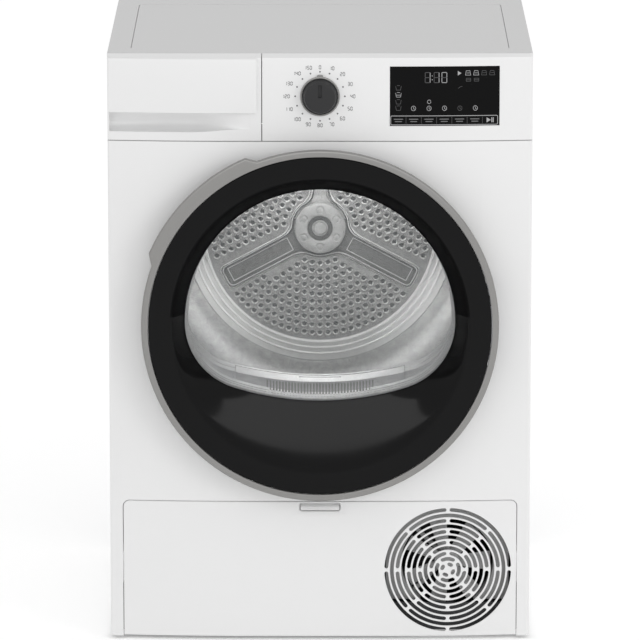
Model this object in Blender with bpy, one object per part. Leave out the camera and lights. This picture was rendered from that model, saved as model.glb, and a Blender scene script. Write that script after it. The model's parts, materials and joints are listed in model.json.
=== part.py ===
"""Front-loading heat-pump tumble dryer, built as separate pieces in metres, +Z up.

The origin is on the floor under the middle of the machine. The front faces -Y and
+X is to the right of somebody standing in front of it. Depths are measured back
from the front plane, which touches the middle of the bowed front.
"""

import math

import bmesh
import bpy
from mathutils import Matrix, Vector

# Whole machine
WIDTH = 0.597
HEIGHT = 0.846
BODY_DEPTH = 0.570
DOOR_PROUD = 0.035
FRONT_Y = DOOR_PROUD - (BODY_DEPTH + DOOR_PROUD) / 2
HALF_WIDTH = WIDTH / 2
GAP = 0.0003
RUNNING_GAP = 0.0004

# Front skin
BOW_FLAT = 0.10
BOW_RATE = 0.27
CORNER_RADIUS = 0.003
SHEET = 0.0015
PANEL_BOTTOM = 0.0045
PANEL_TOP = 0.7222
SEAM_DEPTH = 0.0315
DOOR_HOLE_RADIUS = 0.225

# Control zone and worktop
ZONE_BOTTOM = 0.7232
ZONE_EDGE = 0.8415
WORKTOP_BOTTOM = 0.834
WORKTOP_EDGE_DEPTH = 0.0155
WORKTOP_BACK_DEPTH = 0.552
DRAWER_LEFT = -0.2985
DRAWER_RIGHT = -0.0822
FASCIA_LEFT = -0.0810
FASCIA_DEPTH = 0.0315
DRAWER_DEPTH = 0.030
KNOB_Z = 0.787
KNOB_RADIUS = 0.025
DISPLAY_X = (0.098, 0.2515)
DISPLAY_Z = (0.745, 0.829)

# Door
DOOR_Z = 0.4640
RING_RADIUS = 0.2518
RING_INNER = 0.2425
LUG_HEIGHT = 0.0102
LUG_ANGLES = (110.6, 113.6, 156.4, 159.9)
HINGE_X = 0.240
HINGE_DEPTH = -0.020
HINGE_NOTCH = 0.062

# Helmet-shaped window and mouth: round above, flatter below
WINDOW_TOP = 0.192
WINDOW_CORNER = 0.100
WINDOW_BOTTOM = 0.400

# Drum and its drive
DRUM_Z = 0.5085
DRUM_RADIUS = 0.281
DRUM_FRONT = 0.104
DRUM_LIP_RADIUS = 0.2365
DRUM_BACK = 0.471
DRUM_BACK_RADIUS = 0.2020
SHAFT_RADIUS = 0.0125
COLLAR_RADIUS = 0.2285
ROLLER_RADIUS = 0.035
ROLLER_ANGLE = 30.0
MOTOR_X = 0.165
MOTOR_Z = 0.125
PULLEY_RADIUS = 0.011
BELT_SLACK = 0.0010
BELT_THICKNESS = 0.0025
BELT_DEPTHS = (0.265, 0.273)
BELT_STEPS = (36, 8)
IDLER_RADIUS = 0.018

# Lint filter
FILTER_HALF = 0.120
FILTER_DEPTHS = (0.0405, 0.0815)
FILTER_Z = (0.206, 0.3688)
SLOT_GAP = 0.001

# Kick flap and air grille
FLAP_HALF = 0.2797
FLAP_BOTTOM = 0.006
FLAP_TOP = 0.2034
FLAP_CORNER = 0.009
FLAP_WALL = 0.0025
FLAP_PIVOT_DEPTH = 0.012
FLAP_PIVOT_Z = 0.018
GRILLE_X = 0.182
GRILLE_Z = 0.103
GRILLE_RINGS = 11
GRILLE_PITCH = 0.00795
GRILLE_SLOT = 0.0055
GRILLE_BRIDGE = 0.0043

# Base
FOOT_X = 0.235
FOOT_DEPTHS = (0.075, 0.490)
FOOT_RADIUS = 0.021

ROUND = 36
SMALL = 16
BEARING_SIDES = 20

COLOURS = {
    "white_steel": ((0.83, 0.84, 0.85), 0.38, 0.0),
    "white_plastic": ((0.82, 0.83, 0.84), 0.45, 0.0),
    "worktop_white": ((0.62, 0.63, 0.64), 0.50, 0.0),
    "satin_grey": ((0.27, 0.265, 0.25), 0.42, 0.2),
    "black_gloss": ((0.012, 0.012, 0.013), 0.22, 0.0),
    "dark_plastic": ((0.035, 0.036, 0.038), 0.50, 0.0),
    "grey_plastic": ((0.33, 0.34, 0.35), 0.55, 0.0),
    "tinted_glass": ((0.55, 0.56, 0.57), 0.05, 0.0),
    "stainless": ((0.60, 0.60, 0.59), 0.30, 1.0),
    "zinc_steel": ((0.55, 0.56, 0.58), 0.42, 1.0),
    "aluminium_fins": ((0.72, 0.73, 0.74), 0.35, 1.0),
    "black_paint": ((0.02, 0.02, 0.022), 0.45, 0.0),
    "rubber": ((0.03, 0.03, 0.032), 0.80, 0.0),
    "felt": ((0.35, 0.33, 0.30), 0.95, 0.0),
    "board_green": ((0.03, 0.16, 0.07), 0.55, 0.0),
}


def back(depth):
    """The Y coordinate of a depth behind the front plane."""
    return FRONT_Y + depth


def front_depth(x):
    """Depth of the bowed front skin at x, with its rounded outer corners."""
    depth = BOW_RATE * max(0.0, abs(x) - BOW_FLAT) ** 2
    past = abs(x) - (HALF_WIDTH - CORNER_RADIUS)
    if past > 0:
        depth += CORNER_RADIUS - math.sqrt(max(0.0, CORNER_RADIUS ** 2 - past ** 2))
    return depth


# ---------------------------------------------------------------- mesh helpers

def material(name):
    found = bpy.data.materials.get(name)
    if found:
        return found
    colour, roughness, metallic = COLOURS[name]
    made = bpy.data.materials.new(name)
    made.use_nodes = True
    shader = made.node_tree.nodes["Principled BSDF"]
    shader.inputs["Base Color"].default_value = (*colour, 1.0)
    shader.inputs["Roughness"].default_value = roughness
    shader.inputs["Metallic"].default_value = metallic
    made.diffuse_color = (*colour, 1.0)
    return made


def solid(name, points, faces, finish, parent=None):
    """An object from points and faces, with its faces turned outwards."""
    mesh = bpy.data.meshes.new(name)
    mesh.from_pydata([tuple(p) for p in points], [], faces)
    work = bmesh.new()
    work.from_mesh(mesh)
    bmesh.ops.remove_doubles(work, verts=work.verts, dist=1e-6)
    bmesh.ops.recalc_face_normals(work, faces=work.faces)
    work.to_mesh(mesh)
    work.free()
    mesh.shade_smooth()
    mesh.set_sharp_from_angle(angle=math.radians(32))
    mesh.materials.append(material(finish))
    made = bpy.data.objects.new(name, mesh)
    bpy.context.scene.collection.objects.link(made)
    if parent:
        made.parent = parent
        made.matrix_parent_inverse = Matrix.Translation(-parent.location)
    return made


def stack(name, loops, finish, closed=False, parent=None):
    """Skins equal loops of points in order. A closed stack joins the last to the first."""
    count = len(loops[0])
    points = [p for loop in loops for p in loop]
    faces = []
    spans = len(loops) if closed else len(loops) - 1
    for i in range(spans):
        a = i * count
        b = (i + 1) % len(loops) * count
        for k in range(count):
            m = (k + 1) % count
            faces.append((a + k, a + m, b + m, b + k))
    if not closed:
        faces.append(tuple(range(count)))
        faces.append(tuple(range(len(points) - count, len(points))))
    return solid(name, points, faces, finish, parent)


def place(outline, axis, level):
    """Outline points lifted into space: (x, z) along y, (x, y) along z, (y, z) along x."""
    if axis == "y":
        return [(a, level, b) for a, b in outline]
    if axis == "z":
        return [(a, b, level) for a, b in outline]
    return [(level, a, b) for a, b in outline]


def prism(name, outline, axis, low, high, finish, parent=None):
    loops = [place(outline, axis, low), place(outline, axis, high)]
    return stack(name, loops, finish, parent=parent)


def slab(name, low, high, finish, parent=None):
    """A block between two corners, given as (x, depth, z)."""
    outline = rectangle(low[0], high[0], low[2], high[2])
    return prism(name, outline, "y", back(low[1]), back(high[1]), finish, parent)


def rectangle(x0, x1, z0, z1, radius=0.0, steps=3):
    if radius <= 0:
        return [(x0, z0), (x1, z0), (x1, z1), (x0, z1)]
    points = []
    corners = ((x1, z0, 270), (x1, z1, 0), (x0, z1, 90), (x0, z0, 180))
    for x, z, turn in corners:
        cx = x - math.copysign(radius, x - x0 if x == x1 else x - x1)
        cz = z - math.copysign(radius, z - z0 if z == z1 else z - z1)
        for i in range(steps + 1):
            a = math.radians(turn + 90 * i / steps)
            points.append((cx + radius * math.cos(a), cz + radius * math.sin(a)))
    return points


def circle(x, z, radius, count):
    return [(x + radius * math.cos(a), z + radius * math.sin(a)) for a in even_angles(count)]


def even_angles(count):
    """Evenly spaced angles, half a step off the axes so that no corner lies on them."""
    return [math.tau * (i + 0.5) / count for i in range(count)]


def radial_loop(centre, radius, depth, angles):
    """One loop round a Y axis. radius and depth are numbers or functions."""
    points = []
    for a in angles:
        r = radius(a) if callable(radius) else radius
        x = centre[0] + r * math.cos(a)
        z = centre[1] + r * math.sin(a)
        d = depth(x) if callable(depth) else depth
        points.append((x, back(d), z))
    return points


def ring(name, centre, profile, finish, angles=None, parent=None):
    """A closed ring with the given (radius, depth) section."""
    angles = angles or even_angles(ROUND)
    loops = [radial_loop(centre, r, d, angles) for r, d in profile]
    return stack(name, loops, finish, closed=True, parent=parent)


def turned(name, centre, profile, finish, count=SMALL, parent=None):
    """A full turned body: its (radius, depth) profile is capped at both ends."""
    loops = [radial_loop(centre, r, d, even_angles(count)) for r, d in profile]
    return stack(name, loops, finish, parent=parent)


def upright(name, x, depth, profile, finish, count=SMALL, parent=None):
    """A body turned round a vertical axis, with a (radius, z) profile."""
    loops = [place(circle(x, back(depth), r, count), "z", z) for r, z in profile]
    return stack(name, loops, finish, parent=parent)


def across(name, stations, section, finish, parent=None):
    """A body swept along X: section(x) gives its (depth, z) points."""
    loops = [[(x, back(d), z) for d, z in section(x)] for x in stations]
    return stack(name, loops, finish, parent=parent)


def stations(x0, x1, step=0.03):
    """Places along X for a bowed piece, closer together at the outer corners."""
    count = max(1, round((x1 - x0) / step))
    places = [x0 + (x1 - x0) * i / count for i in range(count + 1)]
    for side in (-1, 1):
        for inset in (0.0, 0.0009, CORNER_RADIUS):
            x = side * (HALF_WIDTH - inset)
            if x0 - 1e-9 <= x <= x1 + 1e-9:
                places.append(x)
    return sorted({round(x, 6) for x in places})


def tool(made):
    """Marks an object as a cutter or an added lump, which isn't a piece itself."""
    made.hide_render = True
    made.display_type = "WIRE"
    return made


def combine(target, other, operation):
    step = target.modifiers.new(operation.lower(), "BOOLEAN")
    step.operation = operation
    step.object = tool(other)
    return target


def cut(target, other):
    return combine(target, other, "DIFFERENCE")


def add(target, other):
    return combine(target, other, "UNION")


def axis_empty(name, x, depth, z):
    made = bpy.data.objects.new(name, None)
    made.location = (x, back(depth), z)
    bpy.context.scene.collection.objects.link(made)
    return made


# ---------------------------------------------------------------- outlines

def helmet(angle, grow=0.0, top=WINDOW_TOP, corner=WINDOW_CORNER, bottom=WINDOW_BOTTOM):
    """Distance from the door's middle to the helmet outline, or to one parallel to it."""
    side = top - corner
    rise = math.sqrt((bottom - corner) ** 2 - side ** 2)
    c = abs(math.cos(angle))
    s = math.sin(angle)
    if s >= 0:
        return top + grow
    reach = (bottom + grow) / (bottom - corner)
    join = math.atan2(rise - rise * reach, side * reach)
    if math.atan2(s, c) > join:
        return c * side + math.sqrt((corner + grow) ** 2 - (side * s) ** 2)
    return s * rise + math.sqrt((bottom + grow) ** 2 - (rise * c) ** 2)


def window(grow):
    return lambda angle: helmet(angle, grow)


def rear_mouth(angle):
    """The mouth behind the filter shelf, whose lower edge is higher."""
    return helmet(angle, top=0.190, corner=0.080, bottom=0.500)


def two_circles(first, second, grow=0.0, steps=BELT_STEPS):
    """The outline of a belt round two circles (x, z, radius), both grown alike."""
    x1, z1, r1 = first
    x2, z2, r2 = second
    span = math.hypot(x2 - x1, z2 - z1)
    facing = math.atan2(z2 - z1, x2 - x1)
    wrap = math.acos((r1 - r2) / span)
    points = []
    for i in range(steps[0] + 1):
        a = facing + wrap + (math.tau - 2 * wrap) * i / steps[0]
        points.append((x1 + (r1 + grow) * math.cos(a), z1 + (r1 + grow) * math.sin(a)))
    for i in range(steps[1] + 1):
        a = facing - wrap + 2 * wrap * i / steps[1]
        points.append((x2 + (r2 + grow) * math.cos(a), z2 + (r2 + grow) * math.sin(a)))
    return points


def ribbon(points, thickness):
    """A bent strip: the points and the same run moved to their right by the thickness."""
    moved = []
    for i, p in enumerate(points):
        before = Vector(points[max(i - 1, 0)])
        after = Vector(points[min(i + 1, len(points) - 1)])
        here = Vector(p)
        first = (here - before).normalized() if i else (after - here).normalized()
        last = (after - here).normalized() if i < len(points) - 1 else first
        middle = (first + last).normalized()
        side = Vector((middle.y, -middle.x))
        moved.append(tuple(here + side * thickness / max(0.3, middle.dot(first))))
    return list(points) + moved[::-1]


# ---------------------------------------------------------------- cabinet

def make_side_panel(name, side):
    inner = HALF_WIDTH - SHEET
    outline = [
        (side * HALF_WIDTH, back(SEAM_DEPTH + 0.0005)),
        (side * inner, back(SEAM_DEPTH + 0.0005)),
        (side * inner, back(0.5380)),
        (side * 0.2840, back(0.5380)),
        (side * 0.2840, back(0.5395)),
        (side * HALF_WIDTH, back(0.5395)),
    ]
    prism(name, outline, "z", PANEL_BOTTOM, WORKTOP_BOTTOM - GAP, "white_steel")


def make_front_panel():
    front = stations(-HALF_WIDTH, HALF_WIDTH)
    outer = [(x, back(front_depth(x))) for x in front]
    shrink = (HALF_WIDTH - SHEET) / HALF_WIDTH
    inner = [(x * shrink, back(front_depth(x) + SHEET)) for x in front]
    outline = [(-HALF_WIDTH, back(SEAM_DEPTH))] + outer + [(HALF_WIDTH, back(SEAM_DEPTH))]
    inset = HALF_WIDTH - SHEET
    outline += [(inset, back(SEAM_DEPTH))] + inner[::-1] + [(-inset, back(SEAM_DEPTH))]
    panel = prism("front_panel", outline, "z", PANEL_BOTTOM, PANEL_TOP, "white_steel")
    reach = (back(-0.02), back(0.028))
    hole = prism("door_hole", circle(0, DOOR_Z, DOOR_HOLE_RADIUS, ROUND), "y", *reach, "white_steel")
    cut(panel, hole)
    low = rectangle(-FLAP_HALF - 0.0008, FLAP_HALF + 0.0008, -0.05, FLAP_TOP + 0.0008, FLAP_CORNER)
    cut(panel, prism("flap_hole", low, "y", *reach, "white_steel"))
    slot = rectangle(-0.2415, -0.2300, DOOR_Z - 0.013, DOOR_Z + 0.013)
    cut(panel, prism("latch_slot", slot, "y", *reach, "white_steel"))
    for side in (-1, 1):
        corner = [(side * (HALF_WIDTH + 0.01), -0.01), (side * (HALF_WIDTH - 0.006), -0.01)]
        for i in range(5):
            a = math.radians(-90 + 22.5 * i)
            x = HALF_WIDTH - 0.006 + 0.006 * math.cos(a)
            corner.append((side * x, PANEL_BOTTOM + 0.006 + 0.006 * math.sin(a)))
        corner.append((side * (HALF_WIDTH + 0.01), PANEL_BOTTOM + 0.006))
        cut(panel, prism("panel_corner", corner, "y", back(-0.02), back(0.05), "white_steel"))


def make_worktop():
    plan = rectangle(-HALF_WIDTH, HALF_WIDTH, back(WORKTOP_EDGE_DEPTH), back(WORKTOP_BACK_DEPTH), 0.008)
    frame = prism("worktop_frame", plan, "z", WORKTOP_BOTTOM, HEIGHT, "worktop_white")
    pocket = rectangle(-0.2665, 0.2665, back(0.0550), back(0.4600), 0.006)
    cut(frame, prism("insert_pocket", pocket, "z", HEIGHT - 0.0065, HEIGHT + 0.01, "worktop_white"))
    lid = rectangle(-0.2660, 0.2660, back(0.0555), back(0.4595), 0.0056)
    prism("worktop_insert", lid, "z", HEIGHT - 0.0062, HEIGHT - GAP, "worktop_white")


def zone_section(depth):
    """Section of the control zone: upright front, sloping top edge, step under the worktop."""
    def section(x):
        front = front_depth(x)
        return [
            (front, ZONE_BOTTOM),
            (front, ZONE_EDGE),
            (WORKTOP_EDGE_DEPTH - 0.0005, HEIGHT - 0.0005),
            (WORKTOP_EDGE_DEPTH - 0.0005, WORKTOP_BOTTOM - 0.0005),
            (depth, WORKTOP_BOTTOM - 0.0005),
            (depth, ZONE_BOTTOM),
        ]
    return section


def make_control_fascia():
    fascia = across("control_fascia", stations(FASCIA_LEFT, HALF_WIDTH), zone_section(FASCIA_DEPTH),
        "white_plastic")
    wall = 0.003

    def hollow(x):
        front = front_depth(x) + wall
        return [
            (front, ZONE_BOTTOM + wall),
            (front, ZONE_EDGE - 0.010),
            (FASCIA_DEPTH + 0.01, ZONE_EDGE - 0.010),
            (FASCIA_DEPTH + 0.01, ZONE_BOTTOM + wall),
        ]
    cut(fascia, across("fascia_hollow", stations(FASCIA_LEFT + wall, HALF_WIDTH - wall), hollow,
        "white_plastic"))

    def recess(x):
        front = front_depth(x)
        low, high = DISPLAY_Z[0] - GAP, DISPLAY_Z[1] + GAP
        return [(front - 0.01, low), (front - 0.01, high), (front + 0.0016, high),
            (front + 0.0016, low)]
    span = stations(DISPLAY_X[0] - GAP, DISPLAY_X[1] + GAP)
    cut(fascia, across("display_recess", span, recess, "white_plastic"))
    cut(fascia, prism("shaft_hole", circle(0, KNOB_Z, 0.0036, SMALL), "y", back(-0.01), back(0.01),
        "white_plastic"))


def make_display():
    def section(x):
        front = front_depth(x)
        low, high = DISPLAY_Z
        return [(front - 0.0002, low), (front - 0.0002, high), (front + 0.0012, high),
            (front + 0.0012, low)]
    across("display_window", stations(*DISPLAY_X), section, "black_gloss")
    slab("control_board", (0.082, 0.0220, 0.738), (0.264, 0.0238, 0.8295), "board_green")


def make_knob():
    centre = (0.0, KNOB_Z)
    inner = KNOB_RADIUS + 0.0005
    profile = [(inner, -0.0040), (0.0272, -0.0040), (0.0278, -0.0030), (0.0278, -GAP), (inner, -GAP)]
    bezel = ring("knob_bezel", centre, profile, "satin_grey", even_angles(28))
    bump = [(-0.0050, KNOB_Z + 0.0268), (0.0050, KNOB_Z + 0.0268), (0.0030, KNOB_Z + 0.0305),
        (-0.0030, KNOB_Z + 0.0305)]
    add(bezel, prism("bezel_bump", bump, "y", back(-0.0036), back(-GAP), "satin_grey"))
    turn = axis_empty("knob_axis", 0.0, 0.0, KNOB_Z)
    profile = [
        (0.0200, -0.0180), (0.0212, -0.0172), (0.0240, -0.0050), (KNOB_RADIUS, -0.0030),
        (KNOB_RADIUS, -0.0006), (0.0032, -0.0006), (0.0032, 0.0190),
    ]
    cap = turned("knob_cap", centre, profile, "dark_plastic", 28, turn)
    groove = rectangle(-0.0024, 0.0024, KNOB_Z + 0.001, KNOB_Z + 0.0185)
    cut(cap, prism("pointer_groove", groove, "y", back(-0.03), back(-0.0168), "dark_plastic"))


def make_rear():
    panel = slab("rear_panel", (-0.2965, 0.5400, 0.010), (0.2965, 0.5415, WORKTOP_BOTTOM - GAP),
        "zinc_steel")
    reach = (back(0.53), back(0.55))
    cut(panel, prism("drum_air_hole", circle(0, DRUM_Z, 0.200, ROUND), "y", *reach, "zinc_steel"))
    cut(panel, prism("duct_hole", rectangle(0.130, 0.200, 0.165, 0.205), "y", *reach, "zinc_steel"))
    big, small = (0.0, DRUM_Z, 0.222), (MOTOR_X, 0.190, 0.062)
    loops = [
        place(two_circles(big, small), "y", back(0.5418)),
        place(two_circles(big, small), "y", back(0.5610)),
        place(two_circles(big, small, -0.006), "y", back(BODY_DEPTH)),
    ]
    cover = stack("rear_drum_cover", loops, "zinc_steel")
    loops = [
        place(two_circles(big, small, -0.003), "y", back(0.5400)),
        place(two_circles(big, small, -0.003), "y", back(0.5600)),
        place(two_circles(big, small, -0.009), "y", back(BODY_DEPTH - 0.002)),
    ]
    cut(cover, stack("cover_hollow", loops, "zinc_steel"))
    inlet = slab("mains_inlet", (-0.262, 0.5418, 0.742), (-0.202, 0.5580, 0.792), "dark_plastic")
    add(inlet, upright("cord_gland", -0.232, 0.5500, [(0.0065, 0.725), (0.0065, 0.745)],
        "dark_plastic"))


# ---------------------------------------------------------------- drum support

def make_front_bulkhead():
    plate = slab("front_bulkhead", (-0.264, 0.010, 0.208), (0.264, 0.014, 0.718), "grey_plastic")
    add(plate, prism("collar", circle(0, DRUM_Z, COLLAR_RADIUS, ROUND), "y", back(0.012), back(0.110),
        "grey_plastic"))
    duct = FILTER_HALF + SLOT_GAP + 0.003
    add(plate, slab("filter_duct", (-duct, 0.012, 0.2005), (duct, 0.0860, 0.330), "grey_plastic"))
    shelf_start = FILTER_DEPTHS[0] - SLOT_GAP
    angles = even_angles(ROUND)
    mouth = [radial_loop((0, DOOR_Z), window(-0.002), d, angles) for d in (-0.01, shelf_start)]
    cut(plate, stack("front_mouth", mouth, "grey_plastic"))
    mouth = [radial_loop((0, DOOR_Z), rear_mouth, d, angles) for d in (shelf_start - 0.001, 0.12)]
    cut(plate, stack("rear_mouth", mouth, "grey_plastic"))
    wide = FILTER_HALF + SLOT_GAP
    low = (-wide, shelf_start, 0.19)
    cut(plate, slab("filter_slot", low, (wide, FILTER_DEPTHS[1] + SLOT_GAP, 0.42), "grey_plastic"))
    hollow = prism("collar_hollow", circle(0, DRUM_Z, COLLAR_RADIUS - 0.003, ROUND), "y", back(0.018),
        back(0.13), "grey_plastic")
    keep = [radial_loop((0, DOOR_Z), window(0.001), d, even_angles(ROUND)) for d in (0.0, 0.15)]
    cut(hollow, stack("mouth_wall", keep, "grey_plastic"))
    cut(hollow, slab("duct_wall", (-duct, 0.0, 0.19), (duct, 0.0862, 0.42), "grey_plastic"))
    cut(plate, hollow)
    cut(plate, slab("fascia_room", (-0.1, 0.0, PANEL_TOP), (0.1, 0.0330, 0.76), "grey_plastic"))
    slot = rectangle(-0.2415, -0.2310, DOOR_Z - 0.011, DOOR_Z + 0.011)
    cut(plate, prism("bulkhead_latch_slot", slot, "y", back(0.0), back(0.016), "grey_plastic"))
    for side in (-1, 1):
        x, z = roller_place(side)
        add(plate, turned("roller_axle", (x, z), [(0.005, 0.012), (0.005, 0.1405)], "zinc_steel", 16))


def roller_place(side):
    reach = DRUM_RADIUS + ROLLER_RADIUS + RUNNING_GAP
    a = math.radians(ROLLER_ANGLE)
    return side * reach * math.sin(a), DRUM_Z - reach * math.cos(a)


def make_drum_support():
    profile = [(0.2290, 0.0980), (0.2352, 0.0980), (0.2352, 0.1096), (0.2290, 0.1096)]
    ring("front_drum_seal", (0, DRUM_Z), profile, "felt")
    boss = turned("bearing_bracket", (0, DRUM_Z), [(0.030, 0.5050), (0.030, 0.5396)], "zinc_steel",
        BEARING_SIDES)
    for turn in (90, 210, 330):
        a = math.radians(turn)
        along = Vector((math.cos(a), math.sin(a)))
        side = Vector((-along.y, along.x)) * 0.012
        middle = Vector((0.0, DRUM_Z))
        arm = [middle + along * 0.015 - side, middle + along * 0.212 - side]
        arm += [middle + along * 0.212 + side, middle + along * 0.015 + side]
        add(boss, prism("bearing_arm", [tuple(p) for p in arm], "y", back(0.5240), back(0.5396),
            "zinc_steel"))
    cut(boss, prism("bearing_seat", circle(0, DRUM_Z, 0.0205, BEARING_SIDES), "y", back(0.50),
        back(0.55), "zinc_steel"))
    profile = [(0.0128, 0.5080), (0.0201, 0.5080), (0.0201, 0.5280), (0.0128, 0.5280)]
    ring("drum_bearing", (0, DRUM_Z), profile, "stainless", even_angles(BEARING_SIDES))
    for side, name in ((-1, "roller_left"), (1, "roller_right")):
        x, z = roller_place(side)
        turn = axis_empty(name + "_axis", x, 0.128, z)
        profile = [
            (0.0054, 0.1180), (0.0330, 0.1180), (ROLLER_RADIUS, 0.1200),
            (ROLLER_RADIUS, 0.1360), (0.0330, 0.1380), (0.0054, 0.1380),
        ]
        ring(name, (x, z), profile, "rubber", even_angles(24), turn)


def make_drum():
    turn = axis_empty("drum_axis", 0.0, 0.30, DRUM_Z)
    sheet = 0.0014
    outer = [
        (DRUM_LIP_RADIUS, DRUM_FRONT), (DRUM_RADIUS, DRUM_FRONT), (DRUM_RADIUS, 0.395),
        (0.2740, 0.432), (0.2520, 0.460), (0.2024, 0.4735),
    ]
    inner = [
        (0.2024, 0.4735 - sheet), (0.2512, 0.460 - sheet), (0.2728, 0.4316),
        (DRUM_RADIUS - sheet, 0.395),
        (DRUM_RADIUS - sheet, DRUM_FRONT + sheet), (DRUM_LIP_RADIUS, DRUM_FRONT + sheet),
    ]
    ring("drum_shell", (0, DRUM_Z), outer + inner, "stainless", parent=turn)
    profile = [
        (0.0135, DRUM_BACK), (0.1700, DRUM_BACK), (0.1760, DRUM_BACK - 0.004), (0.1820, DRUM_BACK),
        (DRUM_BACK_RADIUS - 0.0004, DRUM_BACK), (DRUM_BACK_RADIUS - 0.0004, DRUM_BACK + 0.002),
        (0.0135, DRUM_BACK + 0.002),
    ]
    ring("drum_back", (0, DRUM_Z), profile, "stainless", parent=turn)
    profile = [
        (0.0085, 0.4620), (0.0095, 0.4630), (0.0105, 0.4670), (0.0185, 0.4670), (0.0200, 0.4645),
        (0.0360, 0.4645), (0.0372, 0.4655), (0.0372, DRUM_BACK - GAP), (SHAFT_RADIUS, DRUM_BACK - GAP),
        (SHAFT_RADIUS, 0.5340),
    ]
    turned("drum_hub", (0, DRUM_Z), profile, "zinc_steel", BEARING_SIDES, turn)
    for sign, name in ((1, "drum_lifter_1"), (-1, "drum_lifter_2")):
        foot = DRUM_RADIUS - sheet - 0.0012
        tip = DRUM_RADIUS - 0.055
        section = [(-0.034, foot - 0.0035), (0.034, foot - 0.0035), (0.016, tip + 0.006),
            (0.009, tip), (-0.009, tip)]
        section.append((-0.016, tip + 0.006))
        outline = [(sign * x, DRUM_Z + sign * r) for x, r in section]
        prism(name, outline, "y", back(0.125), back(0.385), "grey_plastic", turn)


# ---------------------------------------------------------------- drive and air path

def make_motor():
    centre = (MOTOR_X, MOTOR_Z)
    profile = [(0.0068, 0.295), (0.050, 0.295), (0.055, 0.300), (0.055, 0.395), (0.050, 0.400),
        (0.0068, 0.400)]
    motor = ring("drive_motor", centre, profile, "zinc_steel", even_angles(24))
    add(motor, slab("motor_foot", (MOTOR_X - 0.045, 0.305, 0.0315), (MOTOR_X + 0.045, 0.390, 0.090),
        "zinc_steel"))
    cut(motor, prism("motor_bore", circle(*centre, 0.0068, SMALL), "y", back(0.28), back(0.41),
        "zinc_steel"))
    x, z = idler_place()
    away = Vector((x - MOTOR_X, z - MOTOR_Z)).normalized()
    side = Vector((-away.y, away.x)) * 0.007
    start = Vector(centre) + away * 0.034
    end = Vector((x, z)) + away * 0.007
    arm = [start - side, end - side, end + side, start + side]
    add(motor, prism("tension_arm", [tuple(p) for p in arm], "y", back(0.2785), back(0.2985),
        "zinc_steel"))
    add(motor, turned("idler_pin", (x, z), [(0.0040, 0.2610), (0.0040, 0.2800)], "zinc_steel", 16))
    spin = axis_empty("motor_axis", MOTOR_X, 0.30, MOTOR_Z)
    profile = [
        (0.0060, 0.2560), (0.0060, 0.2615), (0.0135, 0.2615), (0.0135, 0.2630), (PULLEY_RADIUS, 0.2638),
        (PULLEY_RADIUS, 0.2742), (0.0135, 0.2750), (0.0135, 0.2765), (0.0060, 0.2765), (0.0060, 0.4920),
    ]
    turned("motor_pulley_shaft", centre, profile, "stainless", SMALL, spin)
    make_fan_wheel(spin)
    idler = axis_empty("idler_axis", x, 0.269, z)
    profile = [(0.0043, 0.2630), (IDLER_RADIUS, 0.2630), (IDLER_RADIUS, 0.2750), (0.0043, 0.2750)]
    ring("idler_pulley", (x, z), profile, "zinc_steel", even_angles(SMALL), idler)


def belt_circles():
    return (0.0, DRUM_Z, DRUM_RADIUS + BELT_SLACK), (MOTOR_X, MOTOR_Z, PULLEY_RADIUS + 0.0006)


def idler_place():
    """The idler runs on the outside of the belt's left run, near the motor."""
    outline = two_circles(*belt_circles(), grow=BELT_THICKNESS)
    start, end = Vector(outline[BELT_STEPS[0] + 1]), Vector(outline[BELT_STEPS[0]])
    along = (end - start).normalized()
    outward = Vector((-along.y, along.x))
    if outward.x > 0:
        outward = -outward
    spot = start + (end - start) * 0.30 + outward * (IDLER_RADIUS + RUNNING_GAP)
    return spot.x, spot.y


def make_belt():
    outer = two_circles(*belt_circles(), grow=BELT_THICKNESS)
    inner = two_circles(*belt_circles())
    low, high = back(BELT_DEPTHS[0]), back(BELT_DEPTHS[1])
    loops = [place(outer, "y", low), place(outer, "y", high), place(inner, "y", high),
        place(inner, "y", low)]
    stack("drive_belt", loops, "rubber", closed=True)


def make_fan_wheel(spin):
    """A drum-shaped blower wheel: a ring of teeth as blades on a back plate."""
    blades = 10
    outer = []
    inner = []
    for i in range(blades):
        for part, radius in ((0.0, 0.077), (0.30, 0.077), (0.34, 0.065), (0.96, 0.065)):
            a = math.tau * (i + part) / blades
            outer.append((MOTOR_X + radius * math.cos(a), MOTOR_Z + radius * math.sin(a)))
            inner.append((MOTOR_X + 0.061 * math.cos(a), MOTOR_Z + 0.061 * math.sin(a)))
    low, high = back(0.436), back(0.478)
    loops = [place(outer, "y", low), place(outer, "y", high), place(inner, "y", high),
        place(inner, "y", low)]
    wheel = stack("process_fan_wheel", loops, "dark_plastic", closed=True, parent=spin)
    centre = (MOTOR_X, MOTOR_Z)
    add(wheel, turned("wheel_plate", centre, [(0.0770, 0.4760), (0.0770, 0.4800)], "dark_plastic", 20,
        spin))
    add(wheel, turned("wheel_boss", centre, [(0.0140, 0.4480), (0.0140, 0.4770)], "dark_plastic", 16,
        spin))
    bore = prism("wheel_bore", circle(*centre, 0.0063, SMALL), "y", back(0.43), back(0.49),
        "dark_plastic", spin)
    cut(wheel, bore)


def make_fan_housing():
    centre = (MOTOR_X, MOTOR_Z)
    house = turned("fan_housing", centre, [(0.0925, 0.4150), (0.0925, 0.5000)], "grey_plastic", 28)
    add(house, slab("outlet_spout", (0.1275, 0.498, 0.1625), (0.2025, 0.5396, 0.2075), "grey_plastic"))
    cut(house, turned("wheel_room", centre, [(0.0885, 0.4190), (0.0885, 0.4960)], "grey_plastic", 28))
    cut(house, turned("fan_inlet", centre, [(0.048, 0.4100), (0.048, 0.4200)], "grey_plastic", SMALL))
    cut(house, slab("fan_outlet", (0.130, 0.490, 0.165), (0.200, 0.545, 0.205), "grey_plastic"))


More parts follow.
